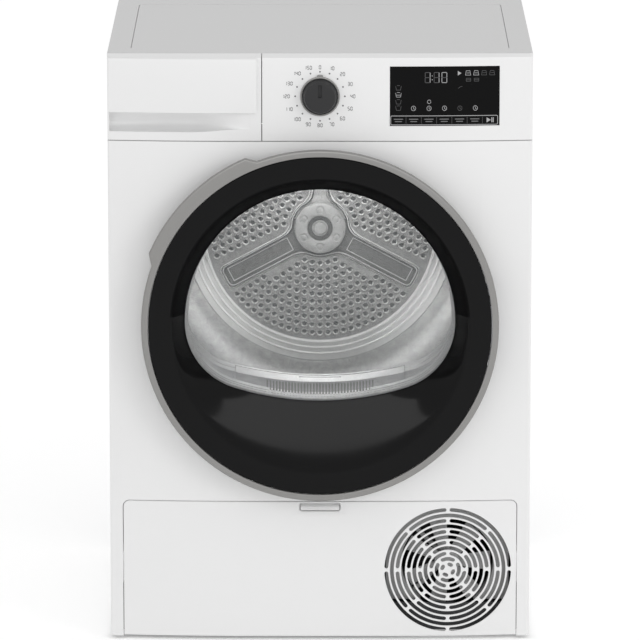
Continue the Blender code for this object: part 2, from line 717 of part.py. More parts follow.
def comb(x0, x1, z0, z1, teeth, spine):
    """A finned block's outline: thin fins hanging from a spine."""
    pitch = (x1 - x0) / teeth
    points = [(x0, z1), (x0, z0)]
    for i in range(teeth):
        left = x0 + i * pitch
        if i:
            points += [(left, z1 - spine), (left, z0)]
        points += [(left + pitch * 0.55, z0)]
        if i < teeth - 1:
            points += [(left + pitch * 0.55, z1 - spine)]
    points += [(x0 + (teeth - 1) * pitch + pitch * 0.55, z1)]
    return points


def make_heat_exchangers():
    duct = slab("heat_exchanger_duct", (-0.272, 0.0340, 0.0315), (-0.040, 0.4100, 0.1900),
        "grey_plastic")
    cut(duct, slab("duct_room", (-0.269, 0.0, 0.0345), (-0.043, 0.45, 0.1870), "grey_plastic"))
    cut(duct, slab("duct_inlet", (-0.118, 0.0415, 0.18), (-0.046, 0.0810, 0.21), "grey_plastic"))
    fins = comb(-0.2675, -0.0445, 0.0360, 0.1855, 14, 0.010)
    prism("evaporator", fins, "y", back(0.100), back(0.200), "aluminium_fins")
    prism("condenser", fins, "y", back(0.225), back(0.375), "aluminium_fins")
    cover = slab("heat_exchanger_cover", (-0.276, 0.0270, 0.0320), (-0.036, 0.0335, 0.1930),
        "grey_plastic")
    cut(cover, slab("cover_panel", (-0.250, 0.0260, 0.0560), (-0.062, 0.0290, 0.1700), "grey_plastic"))
    for x, name in ((-0.262, "cover_latch_left"), (-0.049, "cover_latch_right")):
        turn = axis_empty(name + "_axis", x, 0.024, 0.118)
        latch = turned(name, (x, 0.118), [(0.0080, 0.0206), (0.0080, 0.0266)], "dark_plastic", SMALL,
            turn)
        wing = slab("latch_wing", (x - 0.0045, 0.0206, 0.098), (x + 0.0045, 0.0236, 0.138),
            "dark_plastic", turn)
        add(latch, wing)


def make_base_units():
    tray = slab("base_tray", (-0.285, 0.0300, 0.0080), (0.285, 0.5300, 0.0480), "dark_plastic")
    cut(tray, slab("tray_room", (-0.281, 0.0340, 0.0310), (0.281, 0.5260, 0.0600), "dark_plastic"))
    cut(tray, slab("tray_underside", (-0.281, 0.0340, 0.0), (0.281, 0.5260, 0.0270), "dark_plastic"))
    cut(tray, slab("cover_gap", (-0.278, 0.0200, 0.0312), (-0.034, 0.0360, 0.0600), "dark_plastic"))
    for x in (-FOOT_X, FOOT_X):
        for depth in FOOT_DEPTHS:
            add(tray, upright("foot_boss", x, depth, [(0.014, 0.0085), (0.014, 0.0290)],
                "dark_plastic"))
            cut(tray, upright("foot_bore", x, depth, [(0.0058, 0.0), (0.0058, 0.0270)], "dark_plastic"))
    profile = [
        (0.045, 0.0315), (0.057, 0.0420), (0.057, 0.1640), (0.050, 0.1830), (0.032, 0.1950), (0.012,
            0.1990),
    ]
    upright("compressor", 0.150, 0.185, profile, "black_paint", 20)
    profile = [(0.024, 0.0315), (0.024, 0.0620), (0.017, 0.0660), (0.017, 0.0980)]
    pump = upright("condensate_pump", 0.030, 0.475, profile, "grey_plastic")
    spout = turned("pump_spout", (0.030, 0.080), [(0.006, 0.475), (0.006, 0.512)], "grey_plastic", 16)
    add(pump, spout)


def make_cooling_fan():
    centre = (GRILLE_X, GRILLE_Z)
    shroud = slab("cooling_fan_shroud", (0.094, 0.0450, 0.0490), (0.270, 0.0800, 0.1910),
        "dark_plastic")
    cut(shroud, turned("fan_tunnel", centre, [(0.066, 0.03), (0.066, 0.09)], "dark_plastic", 28))
    hub = turned("fan_motor", centre, [(0.020, 0.0680), (0.020, 0.0790)], "dark_plastic", SMALL)
    for turn in (45, 135, 225, 315):
        a = math.radians(turn)
        along = Vector((math.cos(a), math.sin(a)))
        side = Vector((-along.y, along.x)) * 0.003
        middle = Vector(centre)
        strut = [middle + along * 0.012 - side, middle + along * 0.070 - side]
        strut += [middle + along * 0.070 + side, middle + along * 0.012 + side]
        add(hub, prism("fan_strut", [tuple(p) for p in strut], "y", back(0.0700), back(0.0770),
            "dark_plastic"))
    add(shroud, hub)
    turn = axis_empty("cooling_fan_axis", GRILLE_X, 0.058, GRILLE_Z)
    wheel = turned("cooling_fan_wheel", centre, [(0.018, 0.0500), (0.018, 0.0660)], "black_paint",
        SMALL, turn)
    for i in range(7):
        a = math.tau * i / 7
        along = Vector((math.cos(a), 0.0, math.sin(a)))
        around = Vector((-math.sin(a), 0.0, math.cos(a)))
        lean = (around * 0.85 + Vector((0.0, 0.45, 0.0))).normalized()
        thick = along.cross(lean) * 0.0008
        middle = Vector((GRILLE_X, back(0.0578), GRILLE_Z))
        loops = []
        for reach, half in ((0.014, 0.008), (0.062, 0.014)):
            at = middle + along * reach
            corners = (at - lean * half - thick, at + lean * half - thick)
            loops.append([*corners, at + lean * half + thick, at - lean * half + thick])
        add(wheel, stack("fan_blade", loops, "black_paint", parent=turn))


# ---------------------------------------------------------------- door

def lug(angle):
    """How far the grip lug stands out at an angle: 0 off it, 1 on it."""
    a = math.degrees(angle) % 360
    first, second, third, last = LUG_ANGLES
    if a <= first or a >= last:
        return 0.0
    return min(1.0, (a - first) / (second - first), (last - a) / (last - third))


def make_door():
    turn = axis_empty("door_axis", HINGE_X, HINGE_DEPTH, DOOR_Z)
    middle = (0.0, DOOR_Z)
    angles = sorted(even_angles(ROUND) + [math.radians(a) for a in LUG_ANGLES])

    def grown(radius):
        return lambda a: radius + LUG_HEIGHT * lug(a)

    def rim(depth):
        return lambda x: depth + front_depth(x)
    profile = [
        (RING_INNER, -0.0345), (0.2432, -DOOR_PROUD), (grown(0.2502), -DOOR_PROUD),
        (grown(RING_RADIUS), -0.0335),
        (grown(0.2512), -0.0240), (0.2498, -0.0200), (0.2462, rim(-0.0050)), (0.2436, rim(-0.0050)),
        (0.2466, -0.0280), (0.2456, -0.0312), (RING_INNER, -0.0312),
    ]
    outer = ring("door_ring", middle, profile, "satin_grey", angles, turn)
    notch = slab("hinge_room", (0.2300, -0.0270, DOOR_Z - HINGE_NOTCH),
        (0.27, 0.02, DOOR_Z + HINGE_NOTCH), "satin_grey", turn)
    cut(outer, notch)
    profile = [
        (0.2416, -0.0343), (0.2070, -0.0343), (window(0.0), -0.0020), (window(0.0030), -0.0010),
        (0.2085, -0.0313), (0.2416, -0.0313),
    ]
    ring("door_cover", middle, profile, "black_gloss", parent=turn)
    pane = [radial_loop(middle, window(0.0042), d, even_angles(ROUND)) for d in (-0.0005, 0.0040)]
    stack("door_window", pane, "tinted_glass", parent=turn)
    profile = [
        (0.2380, -0.0065), (0.2040, -0.0065), (0.2035, 0.0046), (0.2065, 0.0046),
        (0.2065, -0.0040), (0.2380, -0.0040),
    ]
    inner = ring("door_inner_frame", middle, profile, "dark_plastic", parent=turn)
    room = slab("frame_notch", (0.2165, -0.0100, DOOR_Z - HINGE_NOTCH),
        (0.25, 0.0, DOOR_Z + HINGE_NOTCH), "dark_plastic", turn)
    cut(inner, room)
    bowl = [
        (window(-0.0110), 0.0272), (window(-0.0110), 0.0050), (0.2062, 0.0050),
        (0.2062, 0.0075), (window(-0.0080), 0.0075), (window(-0.0080), 0.0300),
    ]
    loops = [radial_loop(middle, r, d, even_angles(ROUND)) for r, d in bowl]
    stack("door_inner_glass", loops, "tinted_glass", parent=turn)
    profile = [(0.2085, -0.0037), (0.2165, -0.0037), (0.2165, 0.0060), (0.2125, 0.0096),
        (0.2085, 0.0060)]
    ring("door_seal", middle, profile, "rubber", parent=turn)
    make_hinge(turn)
    make_latch(turn)


def make_hinge(turn):
    """A gooseneck bracket on the cabinet carries the pin, so the door's edge can swing past."""
    leaf = slab("hinge_bracket", (0.2200, 0.0012, DOOR_Z - 0.055), (0.2400, 0.0037, DOOR_Z + 0.055),
        "zinc_steel")
    pin = (HINGE_X, HINGE_DEPTH)
    for low in (-0.040, 0.030):
        neck = [(0.2200, 0.0030), (0.2200, -0.0254), (HINGE_X, -0.0254), (HINGE_X, -0.0146),
            (0.2280, -0.0146), (0.2280, 0.0030)]
        plan = [(x, back(d)) for x, d in neck]
        add(leaf, prism("hinge_neck", plan, "z", DOOR_Z + low, DOOR_Z + low + 0.010, "zinc_steel"))
        eye = [(0.0054, DOOR_Z + low), (0.0054, DOOR_Z + low + 0.010)]
        add(leaf, upright("hinge_eye", *pin, eye, "zinc_steel"))
    add(leaf, upright("hinge_pin", *pin, [(0.0025, DOOR_Z - 0.0425), (0.0025, DOOR_Z + 0.0425)],
        "zinc_steel", 16))
    knuckle = [(0.0057, DOOR_Z - 0.0295), (0.0057, DOOR_Z + 0.0295)]
    arm = upright("door_hinge_arm", *pin, knuckle, "zinc_steel", parent=turn)
    plan = [(0.2105, -0.0068), (0.2105, -0.0310), (HINGE_X + 0.001, -0.0310),
        (HINGE_X + 0.005, -0.0215), (HINGE_X - 0.005, -0.0215)]
    plan += [(HINGE_X - 0.008, -0.0275), (0.2145, -0.0275), (0.2145, -0.0068)]
    plan = [(x, back(d)) for x, d in plan]
    add(arm, prism("arm_strap", plan, "z", DOOR_Z - 0.0295, DOOR_Z + 0.0295, "zinc_steel", turn))
    cut(arm, upright("arm_bore", *pin, [(0.0028, DOOR_Z - 0.04), (0.0028, DOOR_Z + 0.04)],
        "zinc_steel", 16, turn))


def make_latch(turn):
    hook = [(-0.2375, -0.0037), (-0.2375, 0.0290), (-0.2360, 0.0310), (-0.2340, 0.0310)]
    hook += [(-0.2320, 0.0280), (-0.2320, 0.0255), (-0.2345, 0.0240), (-0.2345, -0.0037)]
    plan = [(x, back(d)) for x, d in hook]
    prism("door_latch_hook", plan, "z", DOOR_Z - 0.008, DOOR_Z + 0.008, "dark_plastic", turn)
    strike = slab("latch_strike", (-0.2570, 0.0145, DOOR_Z - 0.020),
        (-0.2290, 0.0440, DOOR_Z + 0.020), "dark_plastic")
    cut(strike, slab("strike_pocket", (-0.2420, 0.0, DOOR_Z - 0.011),
        (-0.2308, 0.0360, DOOR_Z + 0.011), "dark_plastic"))


# ---------------------------------------------------------------- tank drawer and filter

def make_tank_drawer():
    slide = axis_empty("tank_slide", -0.19, 0.0, 0.78)
    front = across("tank_drawer_front", stations(DRAWER_LEFT, DRAWER_RIGHT),
        zone_section(DRAWER_DEPTH), "white_plastic", slide)

    def proud(x):
        d = front_depth(x)
        return [(d - 0.0065, 0.7637), (d - 0.0065, 0.8395), (d - 0.0050, 0.8410),
            (d + 0.0010, 0.8410), (d + 0.0010, 0.7637)]
    add(front, across("drawer_plate", stations(-0.2977, -0.0890), proud, "white_plastic", slide))

    def scoop(x):
        d = front_depth(x)
        deep = 0.003 + 0.017 * min(1.0, (-0.100 - x) / 0.10) if x < -0.100 else 0.003
        deep = min(deep, DRAWER_DEPTH - 0.006 - d)
        return [
            (d - 0.010, 0.7370), (d - 0.010, 0.7634), (d + 0.0005, 0.7634), (d + 0.0030, 0.7760),
            (d + 0.003 + deep, 0.7720), (d + 0.001 + deep, 0.7520), (d + 0.001, 0.7370),
        ]
    cut(front, across("finger_scoop", stations(-0.2945, -0.1000), scoop, "white_plastic", slide))
    outline = [(-0.284, 0.829), (-0.284, 0.7245), (-0.219, 0.7245), (-0.192, 0.735), (-0.098, 0.790),
        (-0.098, 0.829)]
    tank = prism("water_tank", outline, "y", back(DRAWER_DEPTH + GAP), back(0.445), "grey_plastic",
        slide)
    room = [(-0.282, 0.827), (-0.282, 0.7265), (-0.2194, 0.7265), (-0.1929, 0.7368), (-0.100, 0.7912),
        (-0.100, 0.827)]
    cut(tank, prism("tank_room", room, "y", back(DRAWER_DEPTH + 0.0025), back(0.443), "grey_plastic",
        slide))
    cut(tank, upright("fill_hole", -0.19, 0.40, [(0.018, 0.82), (0.018, 0.84)], "grey_plastic",
        parent=slide))
    run = [(-0.2862, 0.800), (-0.2862, 0.7223), (-0.2186, 0.7223), (-0.1911, 0.7328),
        (-0.0955, 0.7888), (-0.0955, 0.800)]
    prism("tank_housing", ribbon(run, 0.002), "y", back(0.0500), back(0.4600), "grey_plastic")


def make_lint_filter():
    slide = axis_empty("filter_slide", 0.0, 0.061, FILTER_Z[0])
    low = (-FILTER_HALF, FILTER_DEPTHS[0], FILTER_Z[0])
    high = (FILTER_HALF, FILTER_DEPTHS[1], FILTER_Z[1])
    body = slab("lint_filter", low, high, "grey_plastic", slide)
    room = slab("filter_room", (-0.112, 0.0435, 0.19), (0.112, 0.0785, 0.3600), "grey_plastic", slide)
    cut(body, room)
    grip = slab("filter_grip", (-0.030, 0.0480, 0.3620), (0.030, 0.0740, 0.38), "grey_plastic", slide)
    cut(body, grip)
    for i in range(12):
        x = -0.100 + 0.200 * i / 11
        cut(body, slab("filter_slit", (x - 0.004, 0.03, 0.3480), (x + 0.004, 0.0445, 0.3580),
            "grey_plastic", slide))


# ---------------------------------------------------------------- kick flap and feet

def make_slot(ring_index, first, last):
    """One curved slot of the air grille, as a cutter with round ends."""
    radius = (GRILLE_RINGS - ring_index - 0.5 + 0.52) * GRILLE_PITCH
    half = GRILLE_SLOT / 2
    bridge = (GRILLE_BRIDGE / 2 + half) / radius
    first += bridge
    last -= bridge
    step = math.radians(22.5)
    inside = range(math.ceil(first / step + 0.2), math.floor(last / step - 0.2) + 1)
    sweep = [first] + [i * step for i in inside] + [last]
    outline = [(radius + half, a) for a in sweep]
    outline.append((radius, last + half / radius))
    outline += [(radius - half, a) for a in reversed(sweep)]
    outline.append((radius, first - half / radius))
    points = [(GRILLE_X + r * math.cos(a), GRILLE_Z + r * math.sin(a)) for r, a in outline]
    return prism("grille_slot", points, "y", back(-0.02), back(0.016), "white_plastic")


def make_kick_flap():
    turn = axis_empty("flap_axis", 0.0, FLAP_PIVOT_DEPTH, FLAP_PIVOT_Z)

    def face(x):
        d = front_depth(x)
        return [(d, FLAP_BOTTOM), (d, FLAP_TOP), (d + 0.0110, FLAP_TOP), (d + 0.0110, FLAP_BOTTOM)]
    flap = across("kick_flap", stations(-FLAP_HALF, FLAP_HALF), face, "white_plastic", turn)

    def room(x):
        d = front_depth(x) + FLAP_WALL
        return [
            (d, FLAP_BOTTOM + FLAP_WALL), (d, FLAP_TOP - FLAP_WALL),
            (d + 0.02, FLAP_TOP - FLAP_WALL), (d + 0.02, FLAP_BOTTOM + FLAP_WALL),
        ]
    inside = stations(-FLAP_HALF + FLAP_WALL, FLAP_HALF - FLAP_WALL)
    cut(flap, across("flap_room", inside, room, "white_plastic", turn))
    for side in (-1, 1):
        corner = [(side * (FLAP_HALF + 0.01), FLAP_TOP + 0.01),
            (side * (FLAP_HALF - FLAP_CORNER), FLAP_TOP + 0.01)]
        for i in range(4):
            a = math.radians(90 - 30 * i)
            x = FLAP_HALF - FLAP_CORNER + FLAP_CORNER * math.cos(a)
            corner.append((side * x, FLAP_TOP - FLAP_CORNER + FLAP_CORNER * math.sin(a)))
        corner.append((side * (FLAP_HALF + 0.01), FLAP_TOP - FLAP_CORNER))
        cut(flap, prism("flap_corner", corner, "y", back(-0.02), back(0.05), "white_plastic", turn))
        pad = slab("corner_pad", (side * 0.2730 - 0.0060, 0.0100, 0.1920),
            (side * 0.2730 + 0.0060, 0.0180, 0.2000), "white_plastic", turn)
        add(flap, pad)
    pull = rectangle(-0.0295, 0.0295, FLAP_TOP - 0.0145, FLAP_TOP + 0.02, 0.004)
    pocket = prism("pull_pocket", pull, "y", back(-0.02), back(0.0085), "white_plastic", turn)
    add(flap, slab("pull_box", (-0.0320, 0.001, FLAP_TOP - 0.0175), (0.0320, 0.0110, FLAP_TOP),
        "white_plastic", turn))
    cut(flap, pocket)
    for index in range(GRILLE_RINGS):
        shift = 45.0 if index % 2 else 0.0
        if index == GRILLE_RINGS - 1:
            shift = 20.0
        for quarter in range(4):
            first = math.radians(shift + 90 * quarter)
            slot = make_slot(index, first, first + math.pi / 2)
            slot.parent = turn
            slot.matrix_parent_inverse = Matrix.Translation(-turn.location)
            cut(flap, slot)


def make_feet():
    for row, depth in zip(("front", "back"), FOOT_DEPTHS):
        for side, x in (("left", -FOOT_X), ("right", FOOT_X)):
            name = f"foot_{row}_{side}"
            screw = axis_empty(name + "_axis", x, depth, 0.0)
            profile = [
                (0.0190, 0.0), (FOOT_RADIUS, 0.0015), (FOOT_RADIUS, 0.0062), (0.0190, 0.0076),
                (0.0050, 0.0076), (0.0050, 0.0250),
            ]
            upright(name, x, depth, profile, "rubber", 12, screw)


def main():
    for old in list(bpy.data.objects):
        bpy.data.objects.remove(old, do_unlink=True)
    make_side_panel("side_panel_left", -1)
    make_side_panel("side_panel_right", 1)
    make_front_panel()
    make_worktop()
    make_control_fascia()
    make_display()
    make_knob()
    make_rear()
    make_front_bulkhead()
    make_drum_support()
    make_drum()
    make_motor()
    make_belt()
    make_fan_housing()
    make_heat_exchangers()
    make_base_units()
    make_cooling_fan()
    make_door()
    make_tank_drawer()
    make_lint_filter()
    make_kick_flap()
    make_feet()


main()
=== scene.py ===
"""Looks of a front-loading clothes dryer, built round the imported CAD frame.

Metres, +Z up, the door faces -Y. Depths are measured back from the front plane, as in the CAD.
"""

import json
import math

import bmesh
import bpy
import numpy as np
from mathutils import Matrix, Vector
from mathutils.geometry import delaunay_2d_cdt


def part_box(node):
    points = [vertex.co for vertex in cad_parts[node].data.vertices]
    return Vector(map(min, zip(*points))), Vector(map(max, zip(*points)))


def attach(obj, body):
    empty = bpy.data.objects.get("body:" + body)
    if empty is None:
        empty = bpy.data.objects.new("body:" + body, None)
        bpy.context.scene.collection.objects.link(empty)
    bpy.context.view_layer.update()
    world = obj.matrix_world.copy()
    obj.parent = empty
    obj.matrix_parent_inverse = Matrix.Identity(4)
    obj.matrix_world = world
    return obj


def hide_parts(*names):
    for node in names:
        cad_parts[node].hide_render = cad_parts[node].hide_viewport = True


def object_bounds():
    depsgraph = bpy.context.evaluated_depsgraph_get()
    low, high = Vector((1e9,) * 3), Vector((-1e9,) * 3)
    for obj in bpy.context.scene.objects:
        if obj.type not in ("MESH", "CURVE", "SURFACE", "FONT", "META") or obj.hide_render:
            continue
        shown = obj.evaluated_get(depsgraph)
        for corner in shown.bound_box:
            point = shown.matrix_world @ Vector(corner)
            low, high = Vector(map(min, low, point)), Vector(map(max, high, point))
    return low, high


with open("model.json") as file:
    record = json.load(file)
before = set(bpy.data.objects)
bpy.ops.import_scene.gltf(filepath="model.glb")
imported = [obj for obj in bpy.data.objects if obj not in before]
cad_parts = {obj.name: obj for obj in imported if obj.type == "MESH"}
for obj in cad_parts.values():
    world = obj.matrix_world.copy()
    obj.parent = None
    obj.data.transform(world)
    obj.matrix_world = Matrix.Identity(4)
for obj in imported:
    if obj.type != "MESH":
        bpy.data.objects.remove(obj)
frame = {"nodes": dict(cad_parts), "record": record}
CAD_LOW, CAD_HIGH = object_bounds()

DOOR_PROUD = 0.035
FRONT_Y = CAD_LOW.y + DOOR_PROUD
HALF_WIDTH = CAD_HIGH.x
HEIGHT = CAD_HIGH.z
RING_LOW, RING_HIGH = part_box("door_ring")
DOOR_Z = (RING_LOW.z + RING_HIGH.z) / 2 - 0.00005
DRUM_LOW, DRUM_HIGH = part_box("drum_shell")
DRUM_Z = (DRUM_LOW.z + DRUM_HIGH.z) / 2
KNOB_LOW, KNOB_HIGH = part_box("knob_cap")
KNOB_Z = (KNOB_LOW.z + KNOB_HIGH.z) / 2
ROUND = 144

DOOR_MIDDLE = (0.0, DOOR_Z)
DRUM_MIDDLE = (0.0, DRUM_Z)
# The front skin is flat in its middle, bows back towards the sides and ends in a round edge.
FLAT_HALF, BOW, EDGE_ROUND = 0.10, 0.27, 0.003


# ---- finishes

def finish(name, colour, roughness, metallic=0.0, mottle=0.015, grain=700.0, bump=0.02, spread=0.05,
           patch=9.0, alpha=1.0, specular=0.5):
    """A procedural finish: broad colour mottle, fine grain in the roughness and in the bump."""
    made = bpy.data.materials.new(name)
    made.use_nodes = True
    nodes, links = made.node_tree.nodes, made.node_tree.links
    shader = nodes["Principled BSDF"]
    shader.inputs["Metallic"].default_value = metallic
    shader.inputs["Alpha"].default_value = alpha
    shader.inputs["Specular IOR Level"].default_value = specular
    place = nodes.new("ShaderNodeTexCoord")

    def noise(scale, detail):
        cloud = nodes.new("ShaderNodeTexNoise")
        cloud.inputs["Scale"].default_value = scale
        cloud.inputs["Detail"].default_value = detail
        links.new(place.outputs["Object"], cloud.inputs["Vector"])
        return cloud
    broad, fine = noise(patch, 3.0), noise(grain, 2.0)
    both = nodes.new("ShaderNodeMix")
    both.data_type = "FLOAT"
    both.inputs["Factor"].default_value = 0.5
    links.new(broad.outputs["Fac"], both.inputs["A"])
    links.new(fine.outputs["Fac"], both.inputs["B"])
    # Most of the noise lies between these two values.
    low_noise, high_noise = 0.3, 0.7
    tones = nodes.new("ShaderNodeValToRGB")
    tones.color_ramp.elements[0].position = low_noise
    tones.color_ramp.elements[1].position = high_noise
    tones.color_ramp.elements[0].color = (*[c * (1 - mottle) for c in colour], 1)
    tones.color_ramp.elements[1].color = (*[min(1.0, c * (1 + mottle)) for c in colour], 1)
    links.new(both.outputs["Result"], tones.inputs["Fac"])
    links.new(tones.outputs["Color"], shader.inputs["Base Color"])
    rough = nodes.new("ShaderNodeMapRange")
    rough.inputs["From Min"].default_value = low_noise
    rough.inputs["From Max"].default_value = high_noise
    rough.inputs["To Min"].default_value = max(0.02, roughness - spread)
    rough.inputs["To Max"].default_value = min(1.0, roughness + spread)
    links.new(both.outputs["Result"], rough.inputs["Value"])
    links.new(rough.outputs["Result"], shader.inputs["Roughness"])
    if bump > 0:
        relief = nodes.new("ShaderNodeBump")
        relief.inputs["Strength"].default_value = bump
        relief.inputs["Distance"].default_value = 0.0004
        links.new(fine.outputs["Fac"], relief.inputs["Height"])
        links.new(relief.outputs["Normal"], shader.inputs["Normal"])
    return made


WHITE_STEEL = finish("white_steel_paint", (0.803, 0.803, 0.803), 0.34, mottle=0.006, bump=0.03)
WHITE_PLASTIC = finish("white_moulded_plastic", (0.803, 0.803, 0.803), 0.42, mottle=0.006, grain=1400,
                       bump=0.05)
# The worktop is a darker white than the front skin: the darkness is painted shade on the top.
SHADED_WORKTOP = finish("worktop_painted_shade", (0.633, 0.633, 0.633), 0.50, mottle=0.012, grain=1600, bump=0.08)
RING_GREY = finish("ring_satin_grey", (0.252, 0.248, 0.241), 0.40, metallic=0.25, mottle=0.02, bump=0.02)
BLACK_GLOSS = finish("black_gloss_plastic", (0.0062, 0.0062, 0.0064), 0.13, mottle=0.02, bump=0.01,
                     specular=0.10)
# A duller copy of the black gloss that paints shade onto the upper half of the door's funnel.
BLACK_PAINTED_SHADE = finish("black_painted_shade_plastic", (0.0045, 0.0045, 0.0047), 0.45, mottle=0.02, bump=0.01,
                     specular=0.02)
SCREEN_BLACK = finish("display_black_glass", (0.0050, 0.0050, 0.0052), 0.14, mottle=0.02, bump=0.0,
                      specular=0.06)
DARK_PLASTIC = finish("dark_moulded_plastic", (0.030, 0.031, 0.033), 0.48, mottle=0.05, bump=0.10)
KNOB_BLACK = finish("knob_dark_plastic", (0.029, 0.029, 0.030), 0.42, mottle=0.03, bump=0.06, specular=0.2)
GREY_PLASTIC = finish("grey_moulded_plastic", (0.40, 0.40, 0.40), 0.55, mottle=0.03, bump=0.10)
MOUTH_GREY = finish("mouth_pale_plastic", (0.44, 0.44, 0.44), 0.50, mottle=0.20, grain=620, bump=0.20,
                    patch=120.0)
GLASS = finish("window_glass", (0.50, 0.52, 0.52), 0.04, mottle=0.01, bump=0.0, spread=0.01, alpha=0.06)
STEEL_GRAIN = {"mottle": 0.30, "grain": 620.0, "bump": 0.40, "spread": 0.10, "patch": 120.0}
DRUM_STEEL = finish("drum_stainless", (0.42, 0.42, 0.415), 0.40, metallic=0.70, **STEEL_GRAIN)
PLATE_STEEL = finish("drum_plate_stainless", (0.40, 0.40, 0.395), 0.46, metallic=0.50, **STEEL_GRAIN)
# A darker copy of the drum steel that paints shade onto the lower arms and every other wall band.
SHADED_ARM_STEEL = finish("drum_arm_painted_shade_steel", (0.215, 0.215, 0.212), 0.48, metallic=0.50, **STEEL_GRAIN)
# A dark copy of the drum steel that paints shade into the groove round the hub.
SHADED_RECESS_STEEL = finish("hub_recess_painted_shade", (0.13, 0.13, 0.128), 0.35, metallic=0.70, **STEEL_GRAIN)
# Near-white steel that paints highlights onto the drum back: hole edges, rings, wall bands and arm frames.
PAINTED_HIGHLIGHT_STEEL = finish("painted_highlight_steel", (0.95, 0.95, 0.94), 0.45, metallic=0.30, mottle=0.10, grain=620,
                    bump=0.20, spread=0.08, patch=120.0)
# The hub's own bright steel, also used as painted light on the upper arm's floor.
HUB_AND_LIT_ARM_STEEL = finish("hub_steel_and_painted_arm_light", (0.60, 0.60, 0.595), 0.45, metallic=0.5, mottle=0.20, grain=620,
                   bump=0.30, patch=120.0)
ZINC = finish("zinc_sheet", (0.50, 0.51, 0.53), 0.40, metallic=0.9, mottle=0.06, grain=300, bump=0.06,
              patch=30.0)
FINS = finish("aluminium_fins", (0.70, 0.71, 0.72), 0.35, metallic=0.9, mottle=0.04, bump=0.05)
BLACK_PAINT = finish("black_paint", (0.020, 0.020, 0.022), 0.40, mottle=0.06, bump=0.08)
RUBBER = finish("rubber", (0.030, 0.030, 0.031), 0.75, mottle=0.10, grain=900, bump=0.20)
FELT = finish("felt", (0.34, 0.32, 0.29), 0.95, mottle=0.12, grain=1500, bump=0.60)
BOARD = finish("circuit_board", (0.03, 0.15, 0.07), 0.50, mottle=0.20, grain=250, bump=0.10)
FLOOR = finish("studio_floor", (0.90, 0.90, 0.90), 0.90, mottle=0.002, bump=0.0)
PRINT = finish("dial_print", (0.13, 0.13, 0.135), 0.55, mottle=0.03, bump=0.0)


def glow(name, colour, strength):
    """A lit display element, with a slight unevenness across it."""
    made = finish(name, (0.02, 0.02, 0.02), 0.4, bump=0.0)
    shader = made.node_tree.nodes["Principled BSDF"]
    shader.inputs["Emission Color"].default_value = (*colour, 1)
    shader.inputs["Emission Strength"].default_value = strength
    return made


LIT = glow("display_lit", (0.80, 0.80, 0.81), 0.46)
MID = glow("display_key_text", (0.70, 0.71, 0.72), 0.20)
DIM = glow("display_dim", (0.50, 0.50, 0.52), 0.085)

FINISHES = {
    "white_steel": WHITE_STEEL, "white_plastic": WHITE_PLASTIC, "worktop_white": SHADED_WORKTOP,
    "satin_grey": RING_GREY, "black_gloss": BLACK_GLOSS, "dark_plastic": DARK_PLASTIC,
    "grey_plastic": GREY_PLASTIC, "tinted_glass": GLASS, "stainless": DRUM_STEEL,
    "zinc_steel": ZINC, "aluminium_fins": FINS, "black_paint": BLACK_PAINT, "rubber": RUBBER,
    "felt": FELT, "board_green": BOARD,
}


# ---- mesh helpers

def back(depth):
    return FRONT_Y + depth


def front_depth(x):
    """Depth of the bowed front skin at x, with its rounded outer corners."""
    depth = BOW * max(0.0, abs(x) - FLAT_HALF) ** 2
    past = abs(x) - (HALF_WIDTH - EDGE_ROUND)
    if past > 0:
        depth += EDGE_ROUND - math.sqrt(max(0.0, EDGE_ROUND ** 2 - past ** 2))
    return depth


def settle(mesh, angle):
    """Points the faces outward and smooths across edges flatter than the angle."""
    work = bmesh.new()
    work.from_mesh(mesh)
    bmesh.ops.remove_doubles(work, verts=work.verts, dist=1e-6)
    bmesh.ops.recalc_face_normals(work, faces=work.faces)
    work.to_mesh(mesh)
    work.free()
    mesh.shade_smooth()
    mesh.set_sharp_from_angle(angle=math.radians(angle))


def placed(name, data):
    """A new object in the scene that shows a mesh, a light or a camera."""
    made = bpy.data.objects.new(name, data)
    bpy.context.scene.collection.objects.link(made)
    return made


def solid(name, points, faces, surface, angle=32):
    mesh = bpy.data.meshes.new(name)
    mesh.from_pydata([tuple(p) for p in points], [], faces)
    settle(mesh, angle)
    mesh.materials.append(surface)
    return placed(name, mesh)


def paint_light_and_shade(made, surface, chosen):
    """Gives the chosen faces of a piece a second finish, used here to paint highlights and shade onto them.
    """
    made.data.materials.append(surface)
    for face in made.data.polygons:
        if chosen(face):
            face.material_index = 1


def show(made, body, slot, *nodes):
    """Rides a finished piece on its body, and hides the CAD nodes that it stands for."""
    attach(made, body)
    if nodes:
        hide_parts(*nodes)
    return made


def stack(name, loops, surface, closed=False, angle=32):
    """A skin over loops that follow each other, capped at both ends or closed into a ring."""
    count = len(loops[0])
    points = [p for loop in loops for p in loop]
    faces = []
    for i in range(len(loops) if closed else len(loops) - 1):
        a, b = i * count, (i + 1) % len(loops) * count
        for k in range(count):
            m = (k + 1) % count
            faces.append((a + k, a + m, b + m, b + k))
    if not closed:
        faces.append(tuple(range(count)))
        faces.append(tuple(range(len(points) - count, len(points))))
    return solid(name, points, faces, surface, angle)


def even_angles(count=ROUND):
    return [math.tau * (i + 0.5) / count for i in range(count)]


def radial_loop(centre, radius, depth, angles):
    points = []
    for a in angles:
        r = radius(a) if callable(radius) else radius
        x = centre[0] + r * math.cos(a)
        z = centre[1] + r * math.sin(a)
        points.append((x, back(depth(x) if callable(depth) else depth), z))
    return points


def ring(name, centre, profile, surface, angles=None, angle=32):
    loops = [radial_loop(centre, r, d, angles or even_angles()) for r, d in profile]
    return stack(name, loops, surface, closed=True, angle=angle)


def turned(name, centre, profile, surface, count=96, angle=32):
    loops = [radial_loop(centre, r, d, even_angles(count)) for r, d in profile]
    return stack(name, loops, surface, angle=angle)


